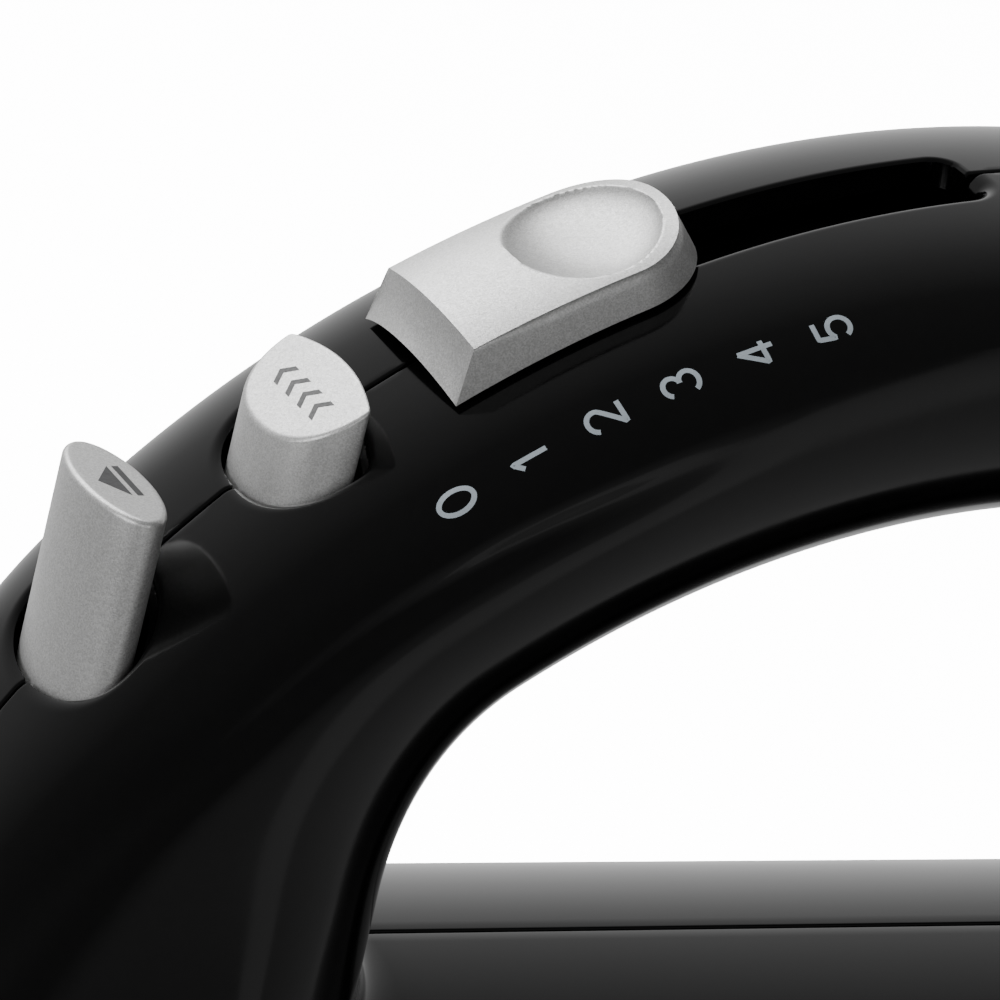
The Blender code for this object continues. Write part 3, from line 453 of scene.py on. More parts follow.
def cut(obj, me, op="DIFFERENCE", solver="MANIFOLD"):
    """Boolean, applied. Falls back to the exact solver if the quick one leaves the mesh as it was."""
    c = bpy.data.objects.new("cut", me)
    bpy.context.scene.collection.objects.link(c)
    before = len(obj.data.vertices)
    for s in ([solver, "EXACT"] if solver != "EXACT" else ["EXACT"]):
        m = obj.modifiers.new("b", "BOOLEAN")
        m.operation, m.object, m.solver = op, c, s
        dg = bpy.context.evaluated_depsgraph_get()
        dg.update()
        new = bpy.data.meshes.new_from_object(obj.evaluated_get(dg))
        obj.modifiers.clear()
        if len(new.vertices) not in (0, before):
            obj.data = new
            break
        print("boolean fallback", obj.name, s, len(new.vertices))
    bpy.data.objects.remove(c, do_unlink=True)
    return obj


def prism(outline, z0, z1, plane="XY", name="prism"):
    """Closed prism of an outline (n, 2)."""
    o = ccw(np.asarray(outline, float))
    n = len(o)
    def lift(z):
        k = np.full(n, float(z))
        return {"XY": np.stack([o[:, 0], o[:, 1], k], -1), "YZ": np.stack([k, o[:, 0], o[:, 1]], -1),
                "XZ": np.stack([o[:, 0], k, o[:, 1]], -1)}[plane]
    verts = np.vstack([lift(z0), lift(z1)])
    faces = [tuple(range(n))[::-1], tuple(range(n, 2 * n))] + [(j, (j + 1) % n, n + (j + 1) % n, n + j) for j in range(n)]
    return outward(mesh_of(name, verts, faces))


def on_arc(deg, radius):
    t = math.radians(deg)
    return radius * math.sin(t), ARC_CZ + radius * math.cos(t)


def stadium(cx, half, r, n=24):
    a = [(cx + r * math.cos(math.pi * i / n), half + r * math.sin(math.pi * i / n)) for i in range(n + 1)]
    b = [(cx - r * math.cos(math.pi * i / n), -half - r * math.sin(math.pi * i / n)) for i in range(n + 1)]
    return a + b


def round_rect(x0, y0, x1, y1, r, n=8):
    pts = []
    for cx, cy, a in ((x1 - r, y1 - r, 0), (x0 + r, y1 - r, 90), (x0 + r, y0 + r, 180), (x1 - r, y0 + r, 270)):
        pts += [(cx + r * math.cos(math.radians(a + 90.0 * i / n)), cy + r * math.sin(math.radians(a + 90.0 * i / n))) for i in range(n + 1)]
    return pts


# ------------------------------------------------------------ materials
class Nodes:
    def __init__(self, name, base, rough, metal=0.0):
        self.m = bpy.data.materials.new(name)
        self.m.use_nodes = True
        self.t = self.m.node_tree
        self.b = self.t.nodes["Principled BSDF"]
        self.b.inputs["Base Color"].default_value = (*base, 1.0)
        self.b.inputs["Roughness"].default_value = rough
        self.b.inputs["Metallic"].default_value = metal
        self.m.diffuse_color = (*base, 1.0)
        self.co = self.t.nodes.new("ShaderNodeTexCoord").outputs["Object"]
        MAT[name] = self.m

    def new(self, kind, **inputs):
        n = self.t.nodes.new(kind)
        for k, v in inputs.items():
            if hasattr(v, "links"):
                self.t.links.new(v, n.inputs[k.replace("_", " ")])
            else:
                n.inputs[k.replace("_", " ")].default_value = v
        return n

    def link(self, out, socket):
        self.t.links.new(out, self.b.inputs[socket])

    def noise(self, scale, detail=3.0, rough=0.5, stretch=None, dist=0.0):
        v = self.co
        if stretch:
            mp = self.t.nodes.new("ShaderNodeMapping")
            mp.inputs["Scale"].default_value = stretch
            self.t.links.new(self.co, mp.inputs["Vector"])
            v = mp.outputs[0]
        n = self.t.nodes.new("ShaderNodeTexNoise")
        self.t.links.new(v, n.inputs["Vector"])
        n.inputs["Scale"].default_value = scale
        n.inputs["Detail"].default_value = detail
        n.inputs["Roughness"].default_value = rough
        n.inputs["Distortion"].default_value = dist
        return n.outputs["Fac"]

    def voronoi(self, scale, feature="F1", out="Distance"):
        n = self.t.nodes.new("ShaderNodeTexVoronoi")
        n.feature = feature
        self.t.links.new(self.co, n.inputs["Vector"])
        n.inputs["Scale"].default_value = scale
        return n.outputs[out]

    def remap(self, v, a, b, lo=0.0, hi=1.0):
        n = self.t.nodes.new("ShaderNodeMapRange")
        self.t.links.new(v, n.inputs["Value"])
        for k, q in (("From Min", lo), ("From Max", hi), ("To Min", a), ("To Max", b)):
            n.inputs[k].default_value = q
        return n.outputs[0]

    def ramp(self, v, stops):
        n = self.t.nodes.new("ShaderNodeValToRGB")
        self.t.links.new(v, n.inputs["Fac"])
        e = n.color_ramp.elements
        while len(e) < len(stops):
            e.new(0.5)
        for q, (p, c) in zip(e, stops):
            q.position = p
            q.color = (*c, 1.0)
        return n.outputs["Color"]

    def bump(self, heights, strength=1.0):
        """heights: list of (height output, distance in metres); chained."""
        prev = None
        for h, d in heights:
            n = self.t.nodes.new("ShaderNodeBump")
            n.inputs["Strength"].default_value = strength
            n.inputs["Distance"].default_value = d
            self.t.links.new(h, n.inputs["Height"])
            if prev is not None:
                self.t.links.new(prev, n.inputs["Normal"])
            prev = n.outputs[0]
        self.t.links.new(prev, self.b.inputs["Normal"])


def speckle(name, base, var, rough, rough_var, scale, metal=0.0, bump=0.0, bump_scale=None, stretch=None, coat=0.0, spec=None):
    """General finish: colour that varies over base, roughness that varies, and a fine relief."""
    n = Nodes(name, base, rough, metal)
    lo = tuple(max(0.0, c * (1.0 - var)) for c in base)
    hi = tuple(min(1.0, c * (1.0 + var)) for c in base)
    n.link(n.ramp(n.noise(scale, 4.0, 0.6, stretch), [(0.3, lo), (0.7, hi)]), "Base Color")
    n.link(n.remap(n.noise(scale * 2.3, 3.0, 0.5, stretch), rough - rough_var, rough + rough_var, 0.25, 0.75), "Roughness")
    if bump:
        n.bump([(n.noise(bump_scale or scale * 4, 3.0, 0.6, stretch), bump)])
    if coat:
        n.b.inputs["Coat Weight"].default_value = coat
        n.b.inputs["Coat Roughness"].default_value = 0.08
    if spec is not None:
        n.b.inputs["Specular IOR Level"].default_value = spec
    return n


def materials():
    # gloss black moulding: almost mirror-like, faint flow waviness, very fine dust and wipe marks
    n = Nodes("gloss_black", (0.0085, 0.0085, 0.0090), 0.10)
    n.link(n.ramp(n.noise(900.0, 3.0, 0.6), [(0.35, (0.0075, 0.0075, 0.0080)), (0.75, (0.0105, 0.0105, 0.0110))]), "Base Color")
    n.link(n.remap(n.noise(60.0, 5.0, 0.65), 0.085, 0.155, 0.3, 0.75), "Roughness")
    n.bump([(n.noise(26.0, 1.0, 0.4), 0.00005), (n.noise(1500.0, 2.0, 0.5), 0.0000010)])
    n.b.inputs["IOR"].default_value = 1.5
    # silver metallic paint: small flakes under a satin clear coat
    n = Nodes("silver_paint", (0.54, 0.54, 0.537), 0.42, 0.6)
    fl = n.voronoi(9500.0, out="Color")
    gray = n.t.nodes.new("ShaderNodeSeparateColor")
    n.t.links.new(fl, gray.inputs[0])
    n.link(n.ramp(gray.outputs[0], [(0.0, (0.47, 0.47, 0.465)), (0.5, (0.57, 0.57, 0.565)), (1.0, (0.68, 0.68, 0.675))]), "Base Color")
    n.link(n.remap(gray.outputs[1], 0.36, 0.50), "Roughness")
    n.bump([(gray.outputs[2], 0.0000022), (n.noise(260.0, 2.0, 0.5), 0.000006)])
    n.b.inputs["Coat Weight"].default_value = 0.15
    n.b.inputs["Coat Roughness"].default_value = 0.3
    # printed marks
    speckle("print_grey", (0.43, 0.49, 0.54), 0.06, 0.5, 0.06, 1400.0, bump=0.000006, bump_scale=2600.0)
    speckle("print_dark", (0.028, 0.028, 0.030), 0.25, 0.5, 0.06, 1400.0, bump=0.000005, bump_scale=2600.0)
    # moulded plastics
    speckle("dark_plastic", (0.012, 0.012, 0.013), 0.25, 0.34, 0.06, 300.0, bump=0.00001, bump_scale=2600.0)
    speckle("socket_trim", (0.022, 0.022, 0.024), 0.2, 0.42, 0.05, 500.0, bump=0.00002, bump_scale=2200.0)
    speckle("grey_plastic", (0.19, 0.20, 0.21), 0.10, 0.46, 0.06, 260.0, bump=0.00002, bump_scale=1800.0)
    speckle("white_nylon", (0.76, 0.75, 0.69), 0.05, 0.42, 0.07, 180.0, bump=0.00002, bump_scale=1500.0)
    # metals
    speckle("steel", (0.62, 0.62, 0.62), 0.06, 0.24, 0.05, 220.0, 1.0, 0.000006, 3000.0, (1.0, 1.0, 0.12))
    n = Nodes("beater_steel", (0.72, 0.72, 0.715), 0.16, 1.0)
    n.link(n.ramp(n.noise(90.0, 4.0, 0.6), [(0.3, (0.66, 0.66, 0.655)), (0.7, (0.76, 0.76, 0.755))]), "Base Color")
    n.link(n.remap(n.noise(420.0, 3.0, 0.6, (1.0, 1.0, 0.2)), 0.10, 0.22, 0.3, 0.7), "Roughness")
    n.bump([(n.noise(2400.0, 2.0, 0.5, (1.0, 1.0, 0.15)), 0.000003)])
    speckle("zinc_steel", (0.58, 0.59, 0.62), 0.12, 0.34, 0.08, 500.0, 1.0, 0.00001, 1600.0)
    n = Nodes("lamination", (0.30, 0.30, 0.31), 0.45, 0.85)
    w = n.t.nodes.new("ShaderNodeTexWave")
    w.bands_direction = "X"
    w.inputs["Scale"].default_value = 620.0
    w.inputs["Distortion"].default_value = 0.3
    n.t.links.new(n.co, w.inputs["Vector"])
    n.link(n.ramp(w.outputs["Fac"], [(0.0, (0.12, 0.12, 0.125)), (0.4, (0.32, 0.32, 0.33)), (1.0, (0.40, 0.40, 0.41))]), "Base Color")
    n.link(n.remap(n.noise(300.0), 0.38, 0.55), "Roughness")
    n.bump([(w.outputs["Fac"], 0.00006)])
    n = Nodes("copper", (0.72, 0.30, 0.12), 0.3, 1.0)
    w = n.t.nodes.new("ShaderNodeTexWave")
    w.bands_direction = "DIAGONAL"
    w.inputs["Scale"].default_value = 900.0
    w.inputs["Distortion"].default_value = 1.2
    w.inputs["Detail Scale"].default_value = 2.0
    n.t.links.new(n.co, w.inputs["Vector"])
    n.link(n.ramp(w.outputs["Fac"], [(0.0, (0.30, 0.10, 0.04)), (0.6, (0.72, 0.30, 0.12)), (1.0, (0.86, 0.42, 0.20))]), "Base Color")
    n.link(n.remap(n.noise(200.0), 0.22, 0.38), "Roughness")
    n.bump([(w.outputs["Fac"], 0.00008)])
    speckle("bronze", (0.50, 0.34, 0.16), 0.15, 0.40, 0.08, 700.0, 1.0, 0.00002, 2600.0)
    speckle("carbon", (0.03, 0.03, 0.031), 0.3, 0.62, 0.08, 900.0, 0.1, 0.00003, 2400.0)
    speckle("rubber", (0.020, 0.020, 0.021), 0.2, 0.66, 0.08, 240.0, bump=0.00003, bump_scale=1700.0, spec=0.35)
    speckle("capacitor_yellow", (0.62, 0.43, 0.05), 0.06, 0.38, 0.06, 200.0, bump=0.00001, bump_scale=1200.0)
    n = Nodes("board_green", (0.03, 0.17, 0.07), 0.38)
    br = n.t.nodes.new("ShaderNodeTexBrick")
    br.inputs["Scale"].default_value = 260.0
    br.inputs["Mortar Size"].default_value = 0.03
    br.inputs["Color1"].default_value = (0.018, 0.12, 0.045, 1.0)
    br.inputs["Color2"].default_value = (0.026, 0.15, 0.06, 1.0)
    br.inputs["Mortar"].default_value = (0.10, 0.26, 0.10, 1.0)
    sw = n.t.nodes.new("ShaderNodeMapping")
    sw.inputs["Rotation"].default_value = (0.0, math.radians(90.0), 0.0)
    n.t.links.new(n.co, sw.inputs["Vector"])
    n.t.links.new(sw.outputs[0], br.inputs["Vector"])
    n.link(br.outputs["Color"], "Base Color")
    n.link(n.remap(n.noise(260.0), 0.3, 0.45), "Roughness")
    n.bump([(br.outputs["Fac"], 0.00003)])


materials()


# ------------------------------------------------------------ housing halves
def cross_grid(n_s, n_p, quick):
    """Points of the half surface at y > 0: fine columns at both seams, even ones between."""
    st = periodic_spline([[i[0], i[1], o[0], o[1]] for i, o in STATIONS], n_s)
    inner, outer = st[:, :2], st[:, 2:]
    d = outer - inner
    d /= np.linalg.norm(d, axis=1)[:, None]
    mid = outer * 0.56 + inner * 0.44

    def solve(ux, uy, uz, fixed_y=None):
        lo, hi = np.zeros_like(ux), np.full_like(ux, 60.0)
        for _ in range(34):
            m = 0.5 * (lo + hi)
            y = uy * m if fixed_y is None else fixed_y
            f = field(mid[:, 0:1] + ux * m, y, mid[:, 1:2] + uz * m)
            lo, hi = np.where(f < 0.0, m, lo), np.where(f < 0.0, hi, m)
        r = 0.5 * (lo + hi)
        y = uy * r if fixed_y is None else np.broadcast_to(fixed_y, r.shape)
        return np.stack([mid[:, 0:1] + ux * r, y, mid[:, 1:2] + uz * r], -1)

    ey = np.array([[SEAM + e for e in EDGE_Y]])
    k = ey.shape[1]
    first = solve(np.repeat(d[:, 0:1], k, 1), 0.0, np.repeat(d[:, 1:2], k, 1), np.repeat(ey, n_s, 0))
    last = solve(np.repeat(-d[:, 0:1], k, 1), 0.0, np.repeat(-d[:, 1:2], k, 1), np.repeat(ey, n_s, 0))[:, ::-1]
    # the middle columns are even in arc length, between the two edge columns
    phi = np.linspace(0.0, math.pi, 181)
    cs, sn = np.cos(phi)[None, :], np.sin(phi)[None, :]
    g = solve(d[:, 0:1] * cs, np.repeat(sn, n_s, axis=0), d[:, 1:2] * cs)
    g[:, 0], g[:, -1] = first[:, -1], last[:, 0]
    keep = g[:, :, 1] >= SEAM + EDGE_R - 1e-6
    mid_cols = np.zeros((n_s, n_p, 3))
    for i in range(n_s):
        q = g[i][keep[i]]
        s = np.concatenate([[0.0], np.cumsum(np.linalg.norm(np.diff(q, axis=0), axis=1))])
        t = np.linspace(0.0, s[-1], n_p + 2)[1:-1]
        mid_cols[i] = np.stack([np.interp(t, s, q[:, c]) for c in range(3)], -1)
    flat = snap(mid_cols.reshape(-1, 3))
    flat[:, 1] = np.maximum(flat[:, 1], SEAM + EDGE_R)
    return np.concatenate([first, flat.reshape(n_s, n_p, 3), last], axis=1)


def shell_half(name, side, g_out, g_in):
    """Closed shell between the outer grid and the cavity grid, finer round the openings."""
    n_s, n_c = g_out.shape[:2]
    m_s, m_c = g_in.shape[:2]
    q = g_in.reshape(-1, 3)
    q = (q - normals(q) * WALL)
    q[:, 1] = np.maximum(q[:, 1], SEAM)
    q = q.reshape(m_s, m_c, 3)
    q[:, 0, 1] = SEAM
    q[:, -1, 1] = SEAM
    verts = np.vstack([g_out.reshape(-1, 3), q.reshape(-1, 3)])
    faces = grid_faces(n_s, n_c, 0, wrap_r=True)
    base = n_s * n_c
    faces += grid_faces(m_s, m_c, base, wrap_r=True, flip=True)
    # seam faces: fine stations against coarse ones
    step = n_s // m_s
    for col_o, col_i in ((0, 0), (n_c - 1, m_c - 1)):
        for a in range(m_s):
            b = (a + 1) % m_s
            ia, ib = base + a * m_c + col_i, base + b * m_c + col_i
            outs = [((a * step + k) % n_s) * n_c + col_o for k in range(step + 1)]
            for k in range(step):
                faces.append((outs[k], outs[k + 1], ia) if k < step // 2 else (outs[k], outs[k + 1], ib))
            faces.append((outs[step // 2], ib, ia))
    me = bpy.data.meshes.new(name)
    me.from_pydata([tuple(v) for v in verts], [], faces)
    at = me.attributes.new("skin", "FLOAT", "POINT")
    at.data.foreach_set("value", np.concatenate([np.ones(base), np.zeros(len(verts) - base)]).astype(np.float32))
    bm = bmesh.new()
    bm.from_mesh(me)
    lay = bm.verts.layers.float["skin"]
    bm.verts.ensure_lookup_table()
    near = np.zeros(len(verts), bool)
    p = verts
    m = (p[:, 0] > -96.0) & (p[:, 0] < -58.0) & (p[:, 2] > -36.0) & (p[:, 1] < 13.0)
    pm = p[m][:, :2]
    near[m] = np.minimum(outline_distance(pm, HOLES[0]), outline_distance(pm, HOLES[1])) < 2.0
    near[m] &= np.maximum(-outline_distance(pm, HOLES[0]), -outline_distance(pm, HOLES[1])) < 1.2
    th = np.degrees(np.arctan2(p[:, 0], p[:, 2] - ARC_CZ))
    crown = np.hypot(p[:, 0], p[:, 2] - ARC_CZ) > 97.0
    near |= (th > SLOT_FRONT - 1.2) & (th < SLOT_REAR + 1.2) & crown & (np.abs(p[:, 1] - SLOT_HALF) < 2.2)
    near |= (np.minimum(np.abs(th - SLOT_FRONT), np.abs(th - SLOT_REAR)) < 1.2) & crown & (p[:, 1] < SLOT_HALF + 2.2)
    edges = [e for e in bm.edges if near[e.verts[0].index] and near[e.verts[1].index]
             and e.verts[0][lay] > 0.5 and e.verts[1][lay] > 0.5]
    bmesh.ops.subdivide_edges(bm, edges=edges, cuts=3, use_grid_fill=True)
    bm.verts.ensure_lookup_table()
    co = np.array([v.co for v in bm.verts], float)
    skin = np.array([v[lay] for v in bm.verts]) > 0.999
    new = np.zeros(len(co), bool)
    new[len(verts):] = True
    sel = skin & new
    y_keep = co[sel][:, 1].copy()
    r = snap(co[sel])
    small = y_keep < SEAM + EDGE_R + 0.02
    r[small, 1] = y_keep[small]
    co[sel] = r
    flat = co[skin]
    nrm = normals(flat)
    nrm_edge = nrm.copy()
    nrm_edge[:, 1] = 0.0                                  # the seam's rounding stays in the profile plane
    nrm_edge /= np.maximum(np.linalg.norm(nrm_edge, axis=1)[:, None], 1e-9)
    extra = crease_depth(flat) + rim_depth(flat) + slot_rim_depth(flat, side)
    n_in = nrm.copy()
    n_in[flat[:, 1] < SEAM + EDGE_R + 0.02, 1] = 0.0
    co[skin] = flat - nrm_edge * edge_depth(flat[:, 1])[:, None] - n_in * extra[:, None]
    co[:, 1] *= side
    for v, c in zip(bm.verts, co):
        v.co = Vector(c) * MM
    bmesh.ops.triangulate(bm, faces=[f for f in bm.faces if len(f.verts) > 4])
    bmesh.ops.recalc_face_normals(bm, faces=bm.faces)
    bm.to_mesh(me)
    bm.free()
    me.attributes.remove(me.attributes["skin"])
    return me


def slot_cutter():
    """Solid through the slot, with rounded corners in plan."""
    reach = math.degrees(SLOT_CORNER / ARC_R)
    ends = [reach * (1.0 - math.cos(math.pi * i / 16.0)) for i in range(9)]
    ths = [SLOT_FRONT + e for e in ends] + list(np.linspace(SLOT_FRONT + reach, SLOT_REAR - reach, 80)[1:-1]) + [SLOT_REAR - e for e in ends[::-1]]
    verts, faces = [], []
    for th in ths:
        gap = max(0.0, SLOT_CORNER - math.radians(min(th - SLOT_FRONT, SLOT_REAR - th)) * ARC_R)
        w = SLOT_HALF - SLOT_CORNER + math.sqrt(max(0.0, SLOT_CORNER ** 2 - gap ** 2))
        for r, y in ((99.0, -w), (99.0, w), (117.0, w), (117.0, -w)):
            x, z = on_arc(th, r)
            verts.append((x, y, z))
    for i in range(len(ths) - 1):
        a, b = 4 * i, 4 * i + 4
        for k in range(4):
            m = (k + 1) % 4
            faces.append((a + k, a + m, b + m, b + k))
    faces.append((3, 2, 1, 0))
    e = 4 * (len(ths) - 1)
    faces.append((e, e + 1, e + 2, e + 3))
    return tidy(mesh_of("slot", verts, faces))


def tidy(me):
    bm = bmesh.new()
    bm.from_mesh(me)
    bmesh.ops.recalc_face_normals(bm, faces=bm.faces)
    bm.to_mesh(me)
    bm.free()
    return me


def housing():
    n_s, n_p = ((720, 96))
    g_out = cross_grid(n_s, n_p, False)
    g_in = cross_grid(n_s // 6, 14, True)
    for name, side in (("left", -1), ("right", 1)):
        me = shell_half("case_" + name, side, g_out, g_in)
        o = put("case_" + name, me, "gloss_black", None, (), None)
        cut(o, slot_cutter())
        cut(o, prism(HOLES[1], -60.0, 0.0))
        cut(o, prism(HOLES[0], -30.0, 6.0))
        cut(o, prism(stadium(WHEEL_X, WHEEL_Y, 13.9), -135.0, -111.0))
        cut(o, lathe("c", "X", (0.0, -38.0), [(6.4, 80.0), (6.4, 112.0)], 48))
        for k in range(5):
            x = 32.0 + 9.0 * k
            cut(o, prism([(u, side * v) for u, v in round_rect(x, 8.0, x + 3.5, 24.0, 1.7)], -135.0, -105.0))
        if side > 0:
            for x, z in CASE_SCREWS:
                cut(o, lathe("c", "Y", (x, z), [(3.5, 8.0), (3.5, 60.0)], 40))
        o.data.shade_smooth()
        o.data.set_sharp_from_angle(angle=math.radians(30))
        o.data.materials.clear()
        o.data.materials.append(MAT["gloss_black"])
        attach(o, "body")
        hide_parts("housing_" + name)


housing()


# ------------------------------------------------------------ buttons
def button(name, plan, top, slope, x_ref, foot, flange, radius, body, node):
    """Button with an upright wall, a rounded top edge and a flat, sloping top."""
    t = math.tan(math.radians(slope))
    zt = lambda q: top + t * (q[:, 0] - x_ref)
    centre = plan.mean(0)
    rings = []

    def ring(q, z):
        return np.column_stack([q, z])

    low = inset(plan, -flange)
    rings.append(ring(low, np.full(len(plan), foot - 2.2)))
    rings.append(ring(low, np.full(len(plan), foot)))
    rings.append(ring(plan, np.full(len(plan), foot)))
    for k in range(1, 9):
        w = k / 8.0
        rings.append(ring(plan, foot * (1 - w) + (zt(plan) - radius) * w))
    for k in range(1, 9):
        a = math.pi / 2 * k / 8.0
        q = inset(plan, radius * (1 - math.cos(a)))
        rings.append(ring(q, zt(q) - radius * (1 - math.sin(a))))
    edge = inset(plan, radius)
    for k in range(1, 14):
        w = 1 - (k / 14.0)
        q = centre + (edge - centre) * w
        rings.append(ring(q, zt(q)))
    me = rings_solid(name, rings)
    return put(name, me, "silver_paint", body, (node,), 50.0)


button("boost_key", TURBO_PLAN, TURBO_TOP, TURBO_SLOPE, TURBO_X1 - TURBO_BULGE, -26.2, 1.4, 0.32, "turbo_key", "turbo_button")
button("release_key", EJECT_PLAN, EJECT_TOP, 1.0, EJECT_X, -38.4, 1.5, 0.5, "eject_key", "eject_button")
put("boost_key_stem", lathe("s", "Z", (-72.5, 0.0), rounded([(0.0, -27.6), (1.6, -27.6), (1.6, -35.4), (0.0, -35.4)], 0.5), 32), "silver_paint", "turbo_key")


# ------------------------------------------------------------ slider knob
def knob():
    K0, K1, H0, H1 = -34.05, -21.35, -32.5, -22.0
    n, m = 120, 72
    KH, TH, KR = 8.2, 7.7, 113.0
    low, high = np.zeros((n + 1, m + 1, 3)), np.zeros((n + 1, m + 1, 3))
    for i in range(n + 1):
        u = 1.0 - (1.0 - i / n) ** 1.7
        end = max(0.0, 1.0 - max(0.0, (u - 0.70) / 0.30) ** 2.1) ** (1.0 / 2.2)
        dl, dh = K0 + (K1 - K0) * u, H0 + (H1 - H0) * u
        for k in range(m + 1):
            t = math.sin(math.pi / 2 * (-1.0 + 2.0 * k / m))
            yl, yh = max(KH * end, 0.02) * t, max(TH * end, 0.02) * t
            drop = CROWN_DROP * (1.0 - max(0.0, 1.0 - abs(yl / GRIP_HALF) ** CROWN_EXP) ** (1.0 / CROWN_EXP))
            rl = float(arc_radius(np.array(math.radians(dl)))) + 0.48 - drop + 1.3 * (1.0 - (yl / KH) ** 2) * sstep(0.5, 0.0, u)
            rh = KR + 1.05 * (1.0 - (yh / TH) ** 2)
            # thumb dish with a soft rim
            e = math.sqrt(((dh + 25.6) / 3.1) ** 2 + (yh / 6.9) ** 2)
            rh -= 1.75 * max(0.0, 1.0 - e ** 2.4) ** 0.8 if e < 1.0 else 0.0
            xl, zl = on_arc(dl, rl)
            xh, zh = on_arc(dh, rh)
            low[i, k], high[i, k] = (xl, yl, zl), (xh, yh, zh)
    rows = []
    # section loop at each station: bottom, side wall, rounded top edge, top
    for i in range(n + 1):
        u = 1.0 - (1.0 - i / n) ** 1.7
        R = 0.30 + 0.75 * float(sstep(0.0, 0.35, np.array(u)))   # crisp at the front, soft towards the rear
        L = low[i]
        H = high[i]
        left, right = [], []
        for side, idx in ((left, 0), (right, m)):
            a, b = L[idx], H[idx]
            inw = (H[1] - H[0]) if idx == 0 else (H[m - 1] - H[m])
            inw = inw / max(np.linalg.norm(inw), 1e-9)
            upv = (b - a) / max(np.linalg.norm(b - a), 1e-9)
            for w in (0.25, 0.5, 0.75, 0.9):
                side.append(a + (b - upv * R - a) * w)
            for q in range(0, 5):
                an = math.pi / 2 * q / 5.0
                side.append(b - upv * R * (1 - math.sin(an)) + inw * R * (1 - math.cos(an)) * (1.0 if i < n else 0.0))
        rows.append(np.vstack([L, np.array(right), H[1:-1][::-1] if False else H[m - 1:0:-1], np.array(left)[::-1]]))
    c = rows[0].shape[0]
    verts = [v for r in rows for v in r]
    faces = grid_faces(n + 1, c, wrap_c=True)
    # front face: a grid between the bottom and the top line; the rear closes on its centre
    k_side = 9
    ring0 = rows[0]
    right_i = [m + 1 + j for j in range(k_side)]
    left_i = [c - 1 - j for j in range(k_side)]
    prev = list(range(m + 1))
    for j in range(k_side):
        a0, b0 = low[0][0], high[0][0]
        f = float((ring0[left_i[j]] - a0) @ (b0 - a0) / ((b0 - a0) @ (b0 - a0)))
        cur = [left_i[j]]
        for k in range(1, m):
            w = low[0][k] * (1 - f) + high[0][k] * f
            hollow = 0.45 * math.sin(math.pi * f) * (1.0 - (2.0 * k / m - 1.0) ** 2)
            verts.append(w + np.array([hollow, 0.0, 0.0]))
            cur.append(len(verts) - 1)
        cur.append(right_i[j])
        for k in range(m):
            faces.append((prev[k], prev[k + 1], cur[k + 1], cur[k]))
        prev = cur
    top_i = [m + 1 + k_side + (m - 1 - k) for k in range(1, m)]
    cur = [prev[0]] + top_i + [prev[-1]]
    for k in range(m):
        q = (prev[k], prev[k + 1], cur[k + 1], cur[k])
        faces.append(tuple(dict.fromkeys(q)))
    last = n * c
    verts.append(rows[-1].mean(0))
    faces += [(last + (j + 1) % c, last + j, len(verts) - 1) for j in range(c)]
    me = outward(mesh_of("slider_knob", verts, faces))
    bm = bmesh.new()
    bm.from_mesh(me)
    bmesh.ops.remove_doubles(bm, verts=bm.verts, dist=0.000004)
    bmesh.ops.recalc_face_normals(bm, faces=bm.faces)
    bm.to_mesh(me)
    bm.free()
    put("slider_knob", me, "silver_paint", "speed_slider", ("speed_knob",), 32.0)
    pts = [on_arc(-33.2 + 7.0 * i / 12, 110.6) for i in range(13)] + [on_arc(-26.2 - 7.0 * i / 12, 105.2) for i in range(13)]
    stem = prism(pts, -2.7, 2.7, "XZ", "stem")
    put("slider_stem", stem, "silver_paint", "speed_slider", (), 30.0)


knob()


# ------------------------------------------------------------ printed marks
def surface_point(x, y):
    """Height of the top of the housing at (x, y)."""
    lo, hi = -60.0, 20.0
    lo = -30.0 if x > -80 else -60.0
    for _ in range(40):
        m = 0.5 * (lo + hi)
        if field(np.array(x), np.array(y), np.array(m)) < 0:
            lo = m
        else:
            hi = m
    return 0.5 * (lo + hi)


def stroke_outline(path, w, closed):
    """Left and right sides of a pen stroke of width w along a plan path."""
    p = np.asarray(path, float)
    if closed:
        t = np.roll(p, -1, 0) - np.roll(p, 1, 0)
    else:
        t = np.gradient(p, axis=0)
    t /= np.maximum(np.linalg.norm(t, axis=1)[:, None], 1e-9)
    nrm = np.stack([-t[:, 1], t[:, 0]], -1)
    return p + nrm * w / 2, p - nrm * w / 2


def arc_pts(cx, cy, rx, ry, a0, a1, n=28):
    return [(cx + rx * math.cos(math.radians(a0 + (a1 - a0) * i / n)), cy + ry * math.sin(math.radians(a0 + (a1 - a0) * i / n))) for i in range(n + 1)]


def line_pts(a, b, n=10):
    return [(a[0] + (b[0] - a[0]) * i / n, a[1] + (b[1] - a[1]) * i / n) for i in range(n + 1)]


